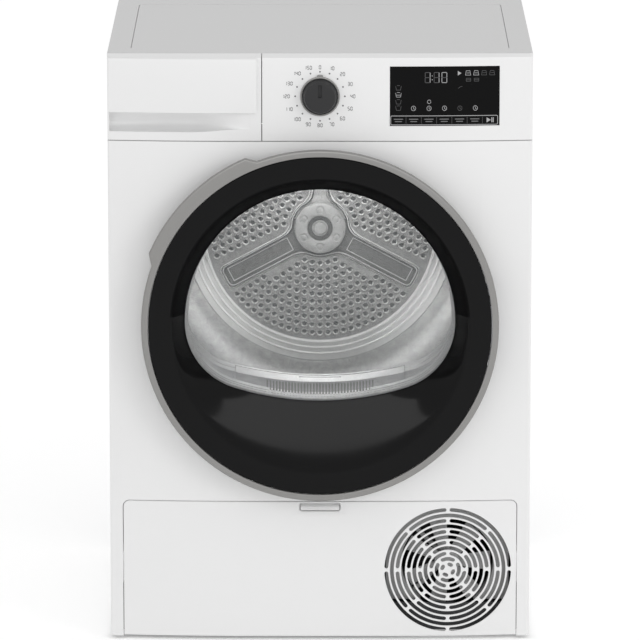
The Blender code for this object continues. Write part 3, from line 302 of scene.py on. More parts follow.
def prism(name, outline, low, high, surface):
    """An (x, z) outline between two depths."""
    loops = [[(x, back(d), z) for x, z in outline] for d in (low, high)]
    return stack(name, loops, surface)


def arc(x, z, radius, first, last, steps):
    """Points round a centre from one angle to another, in degrees."""
    turns = [math.radians(first + (last - first) * i / steps) for i in range(steps + 1)]
    return [(x + radius * math.cos(a), z + radius * math.sin(a)) for a in turns]


def rectangle(x0, x1, z0, z1, radius=0.0, steps=5):
    if radius <= 0:
        return [(x0, z0), (x1, z0), (x1, z1), (x0, z1)]
    points = []
    for x, z, turn in ((x1 - radius, z0 + radius, 270), (x1 - radius, z1 - radius, 0),
                       (x0 + radius, z1 - radius, 90), (x0 + radius, z0 + radius, 180)):
        points += arc(x, z, radius, turn, turn + 90, steps)
    return points


def circle(x, z, radius, count):
    return [(x + radius * math.cos(a), z + radius * math.sin(a)) for a in even_angles(count)]


def stations(x0, x1, step=0.008):
    """Places across the width, closer together where the front's edges are round."""
    count = max(1, round((x1 - x0) / step))
    places = [x0 + (x1 - x0) * i / count for i in range(count + 1)]
    for side in (-1, 1):
        for inset in (0.0, 0.0001, 0.0004, 0.0009, 0.0015, 0.0022, 0.003):
            x = side * (HALF_WIDTH - inset)
            if x0 - 1e-9 <= x <= x1 + 1e-9:
                places.append(x)
    return sorted({round(x, 6) for x in places})


def across(name, places, section, surface):
    """A section of (depth, z) points carried from side to side; it may change with x."""
    loops = [[(x, back(d), z) for d, z in section(x)] for x in places]
    return stack(name, loops, surface)


def bowed_box(name, places, d0, d1, z0, z1, surface):
    """A box whose depths are measured from the bowed front skin."""
    def section(x):
        skin = front_depth(x)
        return [(skin + d0, z0), (skin + d0, z1), (skin + d1, z1), (skin + d1, z0)]
    return across(name, places, section, surface)


def corner_cutter(side, x, z, radius, beyond, deep, surface):
    """Rounds the square corner of an edge at x; beyond is a height past the corner."""
    up = 90 if beyond > z else -90
    loop = [(x + 0.01, beyond), (x - radius, beyond), *arc(x - radius, z, radius, up, 0, 8), (x + 0.01, z)]
    return prism("corner", [(side * px, pz) for px, pz in loop], -0.02, deep, surface)


def cut(target, *tools, operation="DIFFERENCE", angle=32):
    """Cuts the tools out of a piece, or joins them to it, and keeps the plain result."""
    for other in tools:
        step = target.modifiers.new("step", "BOOLEAN")
        step.operation = operation
        step.solver = "EXACT"
        step.object = other
    bpy.context.view_layer.update()
    result = bpy.data.meshes.new_from_object(target.evaluated_get(bpy.context.evaluated_depsgraph_get()))
    target.modifiers.clear()
    target.data = result
    for other in tools:
        bpy.data.objects.remove(other, do_unlink=True)
    settle(result, angle)
    return target


def join(target, *tools):
    return cut(target, *tools, operation="UNION")


def rounded_edges(made, width):
    """A small bevel on the sharp edges, with flat faces kept flat."""
    edge = made.modifiers.new("edge", "BEVEL")
    edge.width = width
    edge.segments = 2
    edge.limit_method = "ANGLE"
    edge.angle_limit = math.radians(40)
    edge.harden_normals = True
    edge.use_clamp_overlap = True


def within(loop, xs, zs):
    """Which of the points lie inside a closed loop."""
    hit = np.zeros(len(xs), bool)
    pts = np.array(loop)
    for (xa, za), (xb, zb) in zip(pts, np.roll(pts, -1, axis=0)):
        if za == zb:
            continue
        crosses = (za > zs) != (zb > zs)
        hit ^= crosses & (xs < (xb - xa) * (zs - za) / (zb - za) + xa)
    return hit


def plate(name, loops, depth, thickness, surface, spots=(), creases=(), angle=32):
    """A sheet with any outline and holes, whose front follows depth(x, z).

    Each loop is (points, sink): an even number of loops round a place means a hole there, and
    the sheet's edge along the loop lies back by its sink. Creases only steer the mesh.
    """
    points, edges, sinks = [], [], []
    for loop, sink in [*loops, *creases]:
        first = len(points)
        points += [Vector(p) for p in loop]
        sinks += [sink] * len(loop)
        edges += [(first + i, first + (i + 1) % len(loop)) for i in range(len(loop))]
    points += [Vector(p) for p in spots]
    sinks += [0.0] * len(spots)
    flat, _, faces, origins, *_ = delaunay_2d_cdt(points, edges, [], 0, 1e-7)
    xs = np.array([sum(flat[i][0] for i in f) / len(f) for f in faces])
    zs = np.array([sum(flat[i][1] for i in f) / len(f) for f in faces])
    count = np.zeros(len(faces), int)
    for loop, _ in loops:
        count += within(loop, xs, zs)
    kept = [f for f, c in zip(faces, count) if c % 2]
    used = sorted({i for f in kept for i in f})
    index = {v: k for k, v in enumerate(used)}
    front, rear = [], []
    for v in used:
        x, z = flat[v]
        sink = max([sinks[o] for o in origins[v]], default=0.0)
        front.append((x, back(depth(x, z) + sink), z))
        rear.append((x, back(depth(x, z) + thickness), z))
    size = len(front)
    out = [tuple(index[i] for i in f) for f in kept]
    rims = {}
    for f in out:
        for i in range(len(f)):
            a, b = f[i], f[(i + 1) % len(f)]
            rims[(a, b)] = rims.get((a, b), 0) + 1
    walls = [(b, a, a + size, b + size) for a, b in rims if (b, a) not in rims]
    out += [tuple(i + size for i in reversed(f)) for f in out]
    return solid(name, front + rear, out + walls, surface, angle)


def flat(depth):
    return lambda x, z: depth


def inset(loop, distance):
    """The loop moved inward by a distance, corner by corner."""
    pts = [Vector(p) for p in loop]
    turn = sum(a.x * b.y - b.x * a.y for a, b in zip(pts, pts[1:] + pts[:1]))
    side = 1 if turn > 0 else -1
    moved = []
    for i, p in enumerate(pts):
        before = (p - pts[i - 1]).normalized()
        after = (pts[(i + 1) % len(pts)] - p).normalized()
        middle = (before + after).normalized()
        moved.append(p + Vector((-middle.y, middle.x)) * side * distance / max(0.4, middle.dot(after)))
    return moved


def helmet(angle, grow=0.0, top=0.192, corner=0.100, bottom=0.400):
    """Distance from the door's middle to the window's outline, or to one parallel to it."""
    side = top - corner
    rise = math.sqrt((bottom - corner) ** 2 - side ** 2)
    c, s = abs(math.cos(angle)), math.sin(angle)
    if s >= 0:
        return top + grow
    reach = (bottom + grow) / (bottom - corner)
    join_angle = math.atan2(rise - rise * reach, side * reach)
    if math.atan2(s, c) > join_angle:
        return c * side + math.sqrt((corner + grow) ** 2 - (side * s) ** 2)
    return s * rise + math.sqrt((bottom + grow) ** 2 - (rise * c) ** 2)


def window(grow):
    return lambda angle: helmet(angle, grow)


REAR_TOP, REAR_CORNER, REAR_BOTTOM = 0.190, 0.080, 0.500


def rear_mouth(grow):
    return lambda angle: helmet(angle, grow, top=REAR_TOP, corner=REAR_CORNER, bottom=REAR_BOTTOM)


# ---- door

LUG_START, LUG_END, LUG_HEIGHT = 110.6, 159.9, 0.0102
HINGE_HALF = 0.062
COVER_FACE = -0.0343
# The dark funnel of the cover runs from the brow radius back to the window.
FUNNEL_BROW, FUNNEL_DEPTH, FUNNEL_CURVE = 0.2095, 0.0323, 1.22


def lug(angle):
    """0 off the grip lug, 1 on it."""
    a = math.degrees(angle) % 360
    rise = min((a - LUG_START) / 3.0, (LUG_END - a) / 3.5)
    return max(0.0, min(1.0, rise))


def hinge_room(x0, x1, low, high, surface):
    return prism("notch", rectangle(x0, x1, DOOR_Z - HINGE_HALF, DOOR_Z + HINGE_HALF), low, high, surface)


def make_door_ring():
    lug_ends = (110.6, 111.6, 112.6, 113.2, 113.6, 114.0, 155.9, 156.4, 157.0, 158.2, 159.2, 159.9)
    angles = sorted(even_angles() + [math.radians(a) for a in lug_ends])

    def grown(radius):
        return lambda a: radius + LUG_HEIGHT * lug(a)

    def rim(depth):
        return lambda x: depth + front_depth(x)
    profile = [
        (0.2425, -0.0343), (0.2428, -0.0348), (0.2436, -0.0350), (grown(0.2492), -0.0350),
        (grown(0.2498), -0.0349), (grown(0.2514), -0.0338), (grown(0.2518), -0.0330),
        (grown(0.2518), -0.0250), (grown(0.2514), -0.0240), (0.2504, -0.0215), (0.2498, -0.0200),
        (0.2462, rim(-0.0050)), (0.2436, rim(-0.0050)), (0.2466, -0.0280), (0.2456, -0.0312),
        (0.2425, -0.0312),
    ]
    outer = ring("door_ring_fine", DOOR_MIDDLE, profile, RING_GREY, angles)
    show(cut(outer, hinge_room(0.2300, 0.27, -0.0270, 0.02, RING_GREY)), "door", "satin_grey", "door_ring")


def make_door_cover():
    profile = [(0.2416, -0.0335), (0.2412, COVER_FACE), (0.2140, COVER_FACE), (0.2112, -0.0341)]
    steps = 14
    for i in range(1, steps + 1):
        t = i / steps
        depth = COVER_FACE + FUNNEL_DEPTH * t ** FUNNEL_CURVE
        profile.append((lambda a, t=t: FUNNEL_BROW * (1 - t) + helmet(a) * t, depth))
    profile += [
        (window(-0.0004), -0.0028), (window(-0.0012), -0.0026), (window(-0.0012), -0.0016),
        (window(0.0030), -0.0010), (0.2090, -0.0316), (0.2416, -0.0316),
    ]
    cover = ring("door_cover_fine", DOOR_MIDDLE, profile, BLACK_GLOSS)

    # The upper half of the funnel takes the duller black as painted shade; the lower half keeps the gloss.
    def shaded_upper_funnel(face):
        x, _, z = face.center
        return z > DOOR_Z + 0.01 and math.hypot(x, z - DOOR_Z) < FUNNEL_BROW + 0.0005
    paint_light_and_shade(cover, BLACK_PAINTED_SHADE, shaded_upper_funnel)
    show(cover, "door", "black_gloss", "door_cover")
    pane = [(window(0.0036), -0.0005), (window(0.0042), 0.0002), (window(0.0042), 0.0034),
            (window(0.0036), 0.0040)]
    glass = turned("door_window_fine", DOOR_MIDDLE, pane, GLASS, ROUND)
    show(glass, "door", "tinted_glass", "door_window")


def make_door_inside():
    profile = [
        (0.2374, -0.0065), (0.2046, -0.0065), (0.2040, -0.0060), (0.2035, 0.0046), (0.2065, 0.0046),
        (0.2065, -0.0040), (0.2380, -0.0040), (0.2380, -0.0060),
    ]
    inner = ring("door_inner_frame_fine", DOOR_MIDDLE, profile, DARK_PLASTIC)
    cut(inner, hinge_room(0.2165, 0.25, -0.0100, 0.0, DARK_PLASTIC))
    show(inner, "door", "dark_plastic", "door_inner_frame")
    bowl = [
        (window(-0.0150), 0.0272), (window(-0.0122), 0.0262), (window(-0.0110), 0.0235),
        (window(-0.0110), 0.0062), (window(-0.0100), 0.0050), (0.2058, 0.0050), (0.2062, 0.0054),
        (0.2062, 0.0071), (0.2058, 0.0075), (window(-0.0070), 0.0075), (window(-0.0080), 0.0085),
        (window(-0.0080), 0.0250), (window(-0.0095), 0.0285), (window(-0.0130), 0.0300),
    ]
    glass = turned("door_inner_glass_fine", DOOR_MIDDLE, bowl, GLASS, ROUND)
    show(glass, "door", "tinted_glass", "door_inner_glass")
    profile = [
        (0.2085, -0.0037), (0.2165, -0.0037), (0.2165, 0.0060), (0.2158, 0.0075), (0.2140, 0.0090),
        (0.2125, 0.0096), (0.2110, 0.0090), (0.2092, 0.0075), (0.2085, 0.0060),
    ]
    show(ring("door_seal_fine", DOOR_MIDDLE, profile, RUBBER, angle=50), "door", "rubber", "door_seal")


# ---- drum

ARM_TURNS = (90, 208, 332)
ARM_DROP = 0.0022
UPPER_ARM_SLIM = 0.0040
DRUM_BACK = 0.4710
DRUM_RADIUS = 0.2810
BOLT_CIRCLE = 0.0278
# The lines of the pressed star, outermost first: width, hub, end, fillet, corner, sink.
STAR_LINES = (
    (0.0194, 0.0464, 0.1620, 0.0170, 0.0105, 0.0), (0.0178, 0.0450, 0.1604, 0.0167, 0.0098, -0.0014),
    (0.0164, 0.0436, 0.1590, 0.0163, 0.0090, 0.0026), (0.0148, 0.0422, 0.1574, 0.0160, 0.0082, 0.0022),
    (0.0126, 0.0400, 0.1552, 0.0152, 0.0070, 0.0078),
)
HOLE_RINGS, FIRST_HOLE_RING, HOLE_RING_PITCH, HOLE_PITCH = 10, 0.0540, 0.01173, 0.0118
HOLE_CLEARANCE = 0.0270


def arm_axes(turn):
    """Unit vectors along an arm and square to it."""
    a = math.radians(turn)
    return Vector((math.cos(a), math.sin(a))), Vector((-math.sin(a), math.cos(a)))


def rounded_path(path):
    """The (corner, radius) points as a closed line with every corner blended."""
    rounded = []
    for i, (p, radius) in enumerate(path):
        if radius <= 0:
            rounded.append(p)
            continue
        ends = []
        for other, blend in (path[i - 1], path[(i + 1) % len(path)]):
            reach = min(radius, (other - p).length * (0.45 if blend else 1.0))
            ends.append(p + (other - p).normalized() * reach)
        for k in range(8):
            t = k / 7
            rounded.append(ends[0] * (1 - t) ** 2 + p * 2 * t * (1 - t) + ends[1] * t ** 2)
    return rounded


def arm_path(width, hub, end, fillet, corner):
    """Outline of the pressed star: three arms round a hub circle, the upper one slimmer."""
    arms = []
    for turn in ARM_TURNS:
        half = width - (UPPER_ARM_SLIM if turn == 90 else 0.0)
        arms.append((math.radians(turn), half, math.asin(half / hub)))
    path = []
    for i, (a, half, spread) in enumerate(arms):
        along, side = arm_axes(ARM_TURNS[i])
        drop = Vector((0.0, 0.0 if i == 0 else -ARM_DROP))
        start = hub * math.cos(spread)
        # Right side out, round the end, left side back, then along the hub circle.
        path.append((along * start - side * half + drop, fillet))
        path.append((along * end - side * half + drop, corner))
        path.append((along * end + side * half + drop, corner))
        path.append((along * start + side * half + drop, fillet))
        after, _, after_spread = arms[(i + 1) % 3]
        first = a + spread + fillet / hub
        last = after - after_spread - fillet / hub + (math.tau if i == 2 else 0.0)
        for k in range(9):
            b = first + (last - first) * k / 8
            path.append((Vector((math.cos(b), math.sin(b))) * hub, 0.0))
    return [(p.x, p.y + DRUM_Z) for p in rounded_path(path)]


def hole_places():
    """Ring by ring hole centres in the three sectors between the arms."""
    places = []
    for i, turn in enumerate(ARM_TURNS):
        after = ARM_TURNS[(i + 1) % 3] + (360 if i == 2 else 0)
        middle, half = math.radians((turn + after) / 2), math.radians((after - turn) / 2)
        for k in range(HOLE_RINGS):
            radius = FIRST_HOLE_RING + HOLE_RING_PITCH * k
            step = HOLE_PITCH / radius
            reach = int(half / step) + 1
            for j in range(-reach, reach + 1):
                a = middle + j * step
                inside = half - abs(j * step)
                if inside <= 0 or radius * math.sin(min(inside, 1.5)) < HOLE_CLEARANCE:
                    continue
                places.append((radius * math.cos(a), DRUM_Z + radius * math.sin(a)))
    return places


def make_perforated_field(star):
    """The sheet round the star, every hole with a pressed edge whose lower half carries a painted highlight.
    """
    holes = hole_places()
    centres = np.array(holes)

    def painted_highlight_edge(face):
        away = np.array((face.center.x, face.center.z)) - centres
        near = away[np.argmin((away ** 2).sum(axis=1))]
        return math.hypot(*near) < 0.0049 and near[1] < 0.0002 and face.normal.y < -0.1
    loops = [(circle(0, DRUM_Z, 0.1712, 120), 0.0), (star, 0.0)]
    loops += [(circle(x, z, 0.0031, 14), 0.0016) for x, z in holes]
    creases = [(circle(x, z, 0.0050, 14), 0.0) for x, z in holes]
    creases += [(circle(x, z, 0.0041, 14), -0.0004) for x, z in holes]
    field = plate("drum_back_field", loops, flat(DRUM_BACK), 0.0034, PLATE_STEEL, creases=creases, angle=28)
    paint_light_and_shade(field, PAINTED_HIGHLIGHT_STEEL, painted_highlight_edge)
    show(field, "drum", "stainless", "drum_back")


def make_arm_walls(paths):
    """The stepped walls between the star's lines."""
    points, faces = [], []
    for path, sink in paths:
        points += [(x, back(DRUM_BACK + sink), z) for x, z in path]
    count = len(paths[0][0])
    for i in range(len(paths) - 1):
        for k in range(count):
            m = (k + 1) % count
            faces.append((i * count + k, i * count + m, (i + 1) * count + m, (i + 1) * count + k))
    # The stepped walls alternate bands of near-white steel, a painted highlight, and darker arm steel,
    # painted shade.
    wall = solid("drum_arm_walls", points, faces, PAINTED_HIGHLIGHT_STEEL, 24)
    paint_light_and_shade(wall, SHADED_ARM_STEEL, lambda face: face.index // count % 2)
    thick = wall.modifiers.new("sheet", "SOLIDIFY")
    thick.thickness = 0.0008
    thick.offset = -1
    show(wall, "drum", "stainless")


def make_arm_floors(star):
    # The upper arm's floor takes the bright hub steel as painted light on the top of the star.
    painted_lit_arm = [p for p in star if p[1] > DRUM_Z + 0.012]
    upper = plate("drum_upper_arm_painted_light_floor", [(painted_lit_arm, 0.0)], flat(DRUM_BACK + 0.0072), 0.0005, HUB_AND_LIT_ARM_STEEL)
    show(upper, "drum", "stainless")
    # The lower arms' floor takes the darker arm steel as painted shade.
    loops = [(star, 0.0), (circle(0, DRUM_Z, 0.0140, 48), 0.0)]
    show(plate("drum_arm_painted_shade_floor", loops, flat(DRUM_BACK + 0.0078), 0.0010, SHADED_ARM_STEEL), "drum", "stainless")
    # Frames of near-white steel round the lower arms are painted highlights.
    frames = []
    for turn in ARM_TURNS[1:]:
        along, side = arm_axes(turn)
        corners = [along * u + side * v for u, v in rectangle(0.050, 0.1510, -0.0108, 0.0108)]
        outline = [(p.x, p.y + DRUM_Z - ARM_DROP) for p in corners]
        inner = [(p.x, p.y) for p in inset(outline, 0.0010)]
        frames.append(plate("arm_frame", [(outline, 0.0006), (inner, 0.0006)], flat(DRUM_BACK + 0.0070),
                            0.0010, PAINTED_HIGHLIGHT_STEEL))
    both = join(*frames)
    both.name = "drum_arm_frames"
    show(both, "drum", "stainless")


def make_back_rings():
    profile = [(0.1706, DRUM_BACK)]
    for peak in (0.1737, 0.1823, 0.1910):
        profile += [(peak - 0.0016, DRUM_BACK - 0.0002), (peak - 0.0006, DRUM_BACK - 0.0026),
                    (peak + 0.0006, DRUM_BACK - 0.0028), (peak + 0.0018, DRUM_BACK - 0.0004)]
    profile += [(0.2014, DRUM_BACK - 0.0002), (0.2014, DRUM_BACK + 0.0016), (0.1706, DRUM_BACK + 0.0016)]
    # The pressed rings are all near-white steel, a painted highlight.
    show(ring("drum_back_rings", DRUM_MIDDLE, profile, PAINTED_HIGHLIGHT_STEEL, angle=20), "drum", "stainless")


def make_hub():
    profile = [
        (0.0060, 0.4640), (0.0082, 0.4642), (0.0090, 0.4650), (0.0092, 0.4682), (0.0103, 0.4682),
        (0.0105, 0.4648), (0.0110, 0.4645), (0.0117, 0.4648), (0.0120, 0.4660), (0.0121, 0.4700),
        (0.0184, 0.4700), (0.0187, 0.4660), (0.0193, 0.4648), (0.0200, 0.4645), (0.0366, 0.4645),
        (0.0375, 0.4649), (0.0380, 0.4658), (0.0382, 0.4706), (0.0125, 0.4707), (0.0125, 0.5340),
    ]
    hub = turned("drum_hub_fine", DRUM_MIDDLE, profile, HUB_AND_LIT_ARM_STEEL, angle=30)
    bolts = arc(0.0, DRUM_Z, BOLT_CIRCLE, 30, 330, 5)
    dip = [(0.0064, 0.4600), (0.0064, 0.4645), (0.0054, 0.4658), (0.0036, 0.4658)]
    cut(hub, *[turned("dip", bolt, dip, HUB_AND_LIT_ARM_STEEL, 24) for bolt in bolts], angle=30)

    # The groove round the hub takes the dark recess steel as painted shade.
    def painted_groove_shade(face):
        radius = math.hypot(face.center.x, face.center.z - DRUM_Z)
        return 0.0119 < radius < 0.0186 and face.center.y < back(0.4703)
    paint_light_and_shade(hub, SHADED_RECESS_STEEL, painted_groove_shade)
    show(hub, "drum", "zinc_steel", "drum_hub")
    head = [(0.0014, 0.4646), (0.0030, 0.4649), (0.0036, 0.4660)]
    heads = join(*[turned("rivet", bolt, head, HUB_AND_LIT_ARM_STEEL, 20) for bolt in bolts])
    heads.name = "drum_hub_rivets"
    show(heads, "drum", "zinc_steel")


def make_drum():
    """The shell with its front wall, three pressed rings and a round rear corner, then the back."""
    sheet = 0.0014
    wall = DRUM_RADIUS - sheet
    steps = 16
    quarter = [i / steps * math.pi / 2 for i in range(steps + 1)]

    def rear_corner(t, thin):
        return 0.2080 + (0.0730 - thin) * math.cos(t), 0.3950 + (0.0760 - thin) * math.sin(t)
    profile = [(0.2365, 0.1040), (0.2800, 0.1040), (DRUM_RADIUS, 0.1048), (DRUM_RADIUS, 0.3900)]
    profile += [rear_corner(t, 0.0) for t in quarter]
    profile += [(0.2024, 0.4720), (0.2024, 0.4720 - sheet)]
    profile += [rear_corner(t, sheet) for t in reversed(quarter)]
    for start in (0.350, 0.270, 0.190):
        profile += [(wall, start), (wall - 0.0016, start - 0.004), (wall - 0.0016, start - 0.014),
                    (wall, start - 0.018)]
    profile += [(wall, 0.1062), (0.2790, 0.1054), (0.2365, 0.1054)]
    shell = ring("drum_shell_fine", DRUM_MIDDLE, profile, DRUM_STEEL, angle=28)
    show(shell, "drum", "stainless", "drum_shell")
    paths = [(arm_path(*shape), sink) for *shape, sink in STAR_LINES]
    make_perforated_field(paths[0][0])
    make_arm_walls(paths)
    make_arm_floors(paths[-1][0])
    make_back_rings()
    make_hub()


# ---- mouth and filter

RIB_PITCH, RIB_GAP_HALF = 0.0044, 0.0012
# The shelf of the lint filter's pocket, the pocket's rear and its half width.
SHELF, POCKET_BACK, POCKET_HALF = 0.0395, 0.0825, 0.1210
ROLLER_CIRCLE = 0.3164


def rib_gaps():
    """Middles of the gaps between the upright ribs on the mouth's lower lip."""
    return [RIB_PITCH * i for i in range(-17, 18)]


def make_bulkhead():
    hole = [(x, z) for x, _, z in radial_loop(DOOR_MIDDLE, window(0.0006), 0.0, even_angles())]
    outer = rectangle(-0.264, 0.264, 0.208, 0.718, 0.006)
    slot = rectangle(-0.2415, -0.2310, DOOR_Z - 0.011, DOOR_Z + 0.011)
    loops = [(outer, 0.0), (hole, 0.0), (slot, 0.0)]
    sheet = plate("bulkhead_plate", loops, flat(0.010), 0.004, GREY_PLASTIC)
    show(sheet, "cabinet", "grey_plastic", "front_bulkhead")


def make_mouth():
    profile = [
        (window(0.0010), 0.0100), (window(-0.0010), 0.0104), (window(-0.0020), 0.0116),
        (window(-0.0020), 0.0180), (window(-0.0030), 0.0184), (window(-0.0030), 0.0260),
        (window(-0.0040), 0.0264), (window(-0.0040), 0.0380), (window(-0.0044), 0.0392),
        (window(-0.0054), 0.0398), (rear_mouth(0.0010), 0.0400), (rear_mouth(0.0), 0.0408),
        (rear_mouth(0.0), 0.0600), (rear_mouth(-0.0010), 0.0606), (rear_mouth(-0.0010), 0.0700),
        (rear_mouth(0.0), 0.0706), (rear_mouth(0.0), 0.0890), (rear_mouth(0.0008), 0.0930),
        (rear_mouth(0.0040), 0.1000), (rear_mouth(0.0060), 0.1010), (0.2240, 0.1024),
        (0.2240, 0.0990), (window(0.0060), 0.0970), (window(0.0020), 0.0950), (window(0.0018), 0.0150),
    ]
    mouth = ring("mouth_ring", DOOR_MIDDLE, profile, MOUTH_GREY, angle=35)
    sides = rectangle(-POCKET_HALF, POCKET_HALF, 0.19, 0.42)
    pocket = prism("slot_tool", sides, SHELF, POCKET_BACK, MOUTH_GREY)
    gaps = []
    for x in rib_gaps():
        sides = rectangle(x - RIB_GAP_HALF, x + RIB_GAP_HALF, 0.3400, 0.3600)
        gaps.append(prism("rib_gap", sides, 0.0150, SHELF, MOUTH_GREY))
    profile = [(window(-0.0016), 0.0140), (window(-0.0016), 0.0396), (window(0.0200), 0.0396),
               (window(0.0200), 0.0140)]
    cut(mouth, cut(join(*gaps), ring("lip_floor", DOOR_MIDDLE, profile, MOUTH_GREY)), angle=35)
    show(cut(mouth, pocket, angle=35), "cabinet", "grey_plastic")


def make_collar_and_duct():
    half = 0.124
    profile = [(0.2255, 0.0140), (0.2285, 0.0140), (0.2285, 0.1100), (0.2255, 0.1100)]
    collar = ring("drum_collar", DRUM_MIDDLE, profile, GREY_PLASTIC)
    gap = prism("gap", rectangle(-half, half, 0.15, 0.330), 0.0, 0.0862, GREY_PLASTIC)
    show(cut(collar, gap), "cabinet", "grey_plastic")
    duct = prism("filter_duct", rectangle(-half, half, 0.2005, 0.3460), 0.0142, 0.0860, GREY_PLASTIC)
    room = prism("room", rectangle(-POCKET_HALF, POCKET_HALF, 0.19, 0.36), SHELF, POCKET_BACK, GREY_PLASTIC)
    front = prism("front", rectangle(-0.118, 0.118, 0.2060, 0.40), 0.0150, 0.0370, GREY_PLASTIC)
    show(cut(duct, room, front), "cabinet", "grey_plastic")


def make_drum_bearings():
    """The two roller axles under the drum's front edge and the felt seal round it."""
    reach = math.radians(30)
    profile = [(0.0080, 0.0141), (0.0080, 0.0200), (0.0050, 0.0210), (0.0050, 0.1400), (0.0045, 0.1405)]
    for side, name in ((-1, "left"), (1, "right")):
        centre = (side * ROLLER_CIRCLE * math.sin(reach), DRUM_Z - ROLLER_CIRCLE * math.cos(reach))
        show(turned("roller_axle_" + name, centre, profile, ZINC, 40), "cabinet", "zinc_steel")
    profile = [(0.2290, 0.0980), (0.2346, 0.0980), (0.2352, 0.0986), (0.2352, 0.1090), (0.2346, 0.1096),
               (0.2290, 0.1096)]
    show(ring("front_drum_seal_fine", DRUM_MIDDLE, profile, FELT), "cabinet", "felt", "front_drum_seal")


def make_filter():
    low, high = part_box("lint_filter")
    d0, d1 = low.y - FRONT_Y, high.y - FRONT_Y
    slit_floor = 0.0428
    side = REAR_TOP - REAR_CORNER
    arc_middle = DOOR_Z + math.sqrt((REAR_BOTTOM - REAR_CORNER) ** 2 - side ** 2)

    def shelf_height(x):
        """The filter's top lies just under the shelf's arc."""
        return arc_middle - math.sqrt(REAR_BOTTOM ** 2 - x ** 2) - 0.0007
    body = across("lint_filter_fine", stations(low.x, high.x, 0.006), lambda x: [
        (d0, low.z), (d0, shelf_height(x)), (d1, shelf_height(x)), (d1, low.z)], MOUTH_GREY)
    room = prism("room", rectangle(-0.112, 0.112, 0.19, high.z - 0.0105), 0.0435, 0.0785, MOUTH_GREY)
    grip = across("grip", [-0.030, 0.030], lambda x: [
        (0.0480, high.z - 0.0066), (0.0480, 0.38), (0.0770, 0.38), (0.0740, high.z - 0.0012)], MOUTH_GREY)
    slits = []
    for x in rib_gaps():
        sides = rectangle(x - RIB_GAP_HALF, x + RIB_GAP_HALF, 0.3450, shelf_height(x) - 0.0025)
        slits.append(prism("slit", sides, 0.0380, slit_floor, MOUTH_GREY))
    cut(body, room, grip)
    cut(body, join(*slits))
    # The slits' floors take the darker ring grey as painted shade in the slits.
    paint_light_and_shade(body, RING_GREY, lambda face: abs(face.center.y - back(slit_floor)) < 0.00005)
    show(body, "filter", "grey_plastic", "lint_filter")
    rounded_edges(body, 0.0004)


# ---- kick flap

GRILLE = (0.182, 0.103)
GRILLE_RINGS, GRILLE_PITCH, GRILLE_BRIDGE = 11, 0.00795, 0.0049
FLAP_CORNER = 0.009
PULL_HALF, PULL_DROP = 0.0295, 0.0145


def slot_outline(radius, first, last):
    """A curved slot with round ends, as a closed loop."""
    half = 0.00275
    steps = max(3, int((last - first) * radius / 0.004))
    sweep = [first + (last - first) * i / steps for i in range(steps + 1)]
    polar = [(radius + half, a) for a in sweep]
    ends = [math.pi / 2 - math.pi * i / 6 for i in range(1, 6)]
    polar += [(radius + half * math.sin(e), last + half * math.cos(e) / radius) for e in ends]
    polar += [(radius - half, a) for a in reversed(sweep)]
    polar += [(radius - half * math.sin(e), first - half * math.cos(e) / radius) for e in ends]
    return [(GRILLE[0] + r * math.cos(a), GRILLE[1] + r * math.sin(a)) for r, a in polar]


def grille_slots():
    """Four curved slots to a ring, the bridges of each ring turned away from its neighbours'."""
    slots = []
    for index in range(GRILLE_RINGS):
        innermost = index == GRILLE_RINGS - 1
        shift = 20.0 if innermost else (45.0 if index % 2 else 0.0)
        radius = (GRILLE_RINGS - index + 0.02) * GRILLE_PITCH
        bridge = GRILLE_BRIDGE / radius
        for quarter in range(4):
            first = math.radians(shift + 90 * quarter)
            slots.append(slot_outline(radius, first + bridge, first + math.pi / 2 - bridge))
    return slots


def make_flap_skin(left, right, bottom, top):
    outline = [(left, bottom), (right, bottom)]
    outline += arc(right - FLAP_CORNER, top - FLAP_CORNER, FLAP_CORNER, 0, 90, 8)
    outline += arc(left + FLAP_CORNER, top - FLAP_CORNER, FLAP_CORNER, 90, 180, 8)
    dense = []
    for p, q in zip(outline, outline[1:] + outline[:1]):
        steps = max(1, round(math.dist(p, q) / 0.012))
        dense += [(p[0] + (q[0] - p[0]) * i / steps, p[1] + (q[1] - p[1]) * i / steps) for i in range(steps)]
    pull = rectangle(-PULL_HALF, PULL_HALF, top - PULL_DROP, top - 0.0012, 0.0042)
    loops = [(dense, 0.0009), (pull, 0.0006)] + [(slot, 0.0004) for slot in grille_slots()]
    # Spots over the plain part, so that the sheet follows the bow there too.
    columns, rows = 56, 18
    grid = []
    for i in range(1, columns):
        for k in range(1, rows):
            x = left + (right - left) * i / columns
            z = bottom + (top - bottom) * k / rows
            if math.hypot(x - GRILLE[0], z - GRILLE[1]) > 0.094 and z < top - 0.018:
                grid.append((x, z))
    skin = plate("kick_flap_skin", loops, lambda x, z: front_depth(x), 0.0025, WHITE_PLASTIC, spots=grid,
                 creases=[(inset(dense, 0.0009), 0.0), (inset(pull, -0.0010), 0.0)], angle=40)
    show(skin, "flap", "white_plastic", "kick_flap")


def make_flap_rim(left, right, bottom, top):
    wall = 0.0025
    rim = bowed_box("kick_flap_rim", stations(left, right, 0.012), 0.0024, 0.0110, bottom, top - 0.0002,
                    WHITE_PLASTIC)
    inner = bowed_box("inner", stations(left + wall, right - wall, 0.012), -0.01, 0.03, bottom + wall,
                      top - wall, WHITE_PLASTIC)
    corners = [corner_cutter(side, right, top - FLAP_CORNER, FLAP_CORNER, top + 0.01, 0.05, WHITE_PLASTIC)
               for side in (-1, 1)]
    opening = rectangle(-PULL_HALF, PULL_HALF, top - PULL_DROP, top + 0.02, 0.004)
    notch = prism("notch", opening, -0.02, 0.0085, WHITE_PLASTIC)
    show(cut(rim, inner, *corners, notch), "flap", "white_plastic")


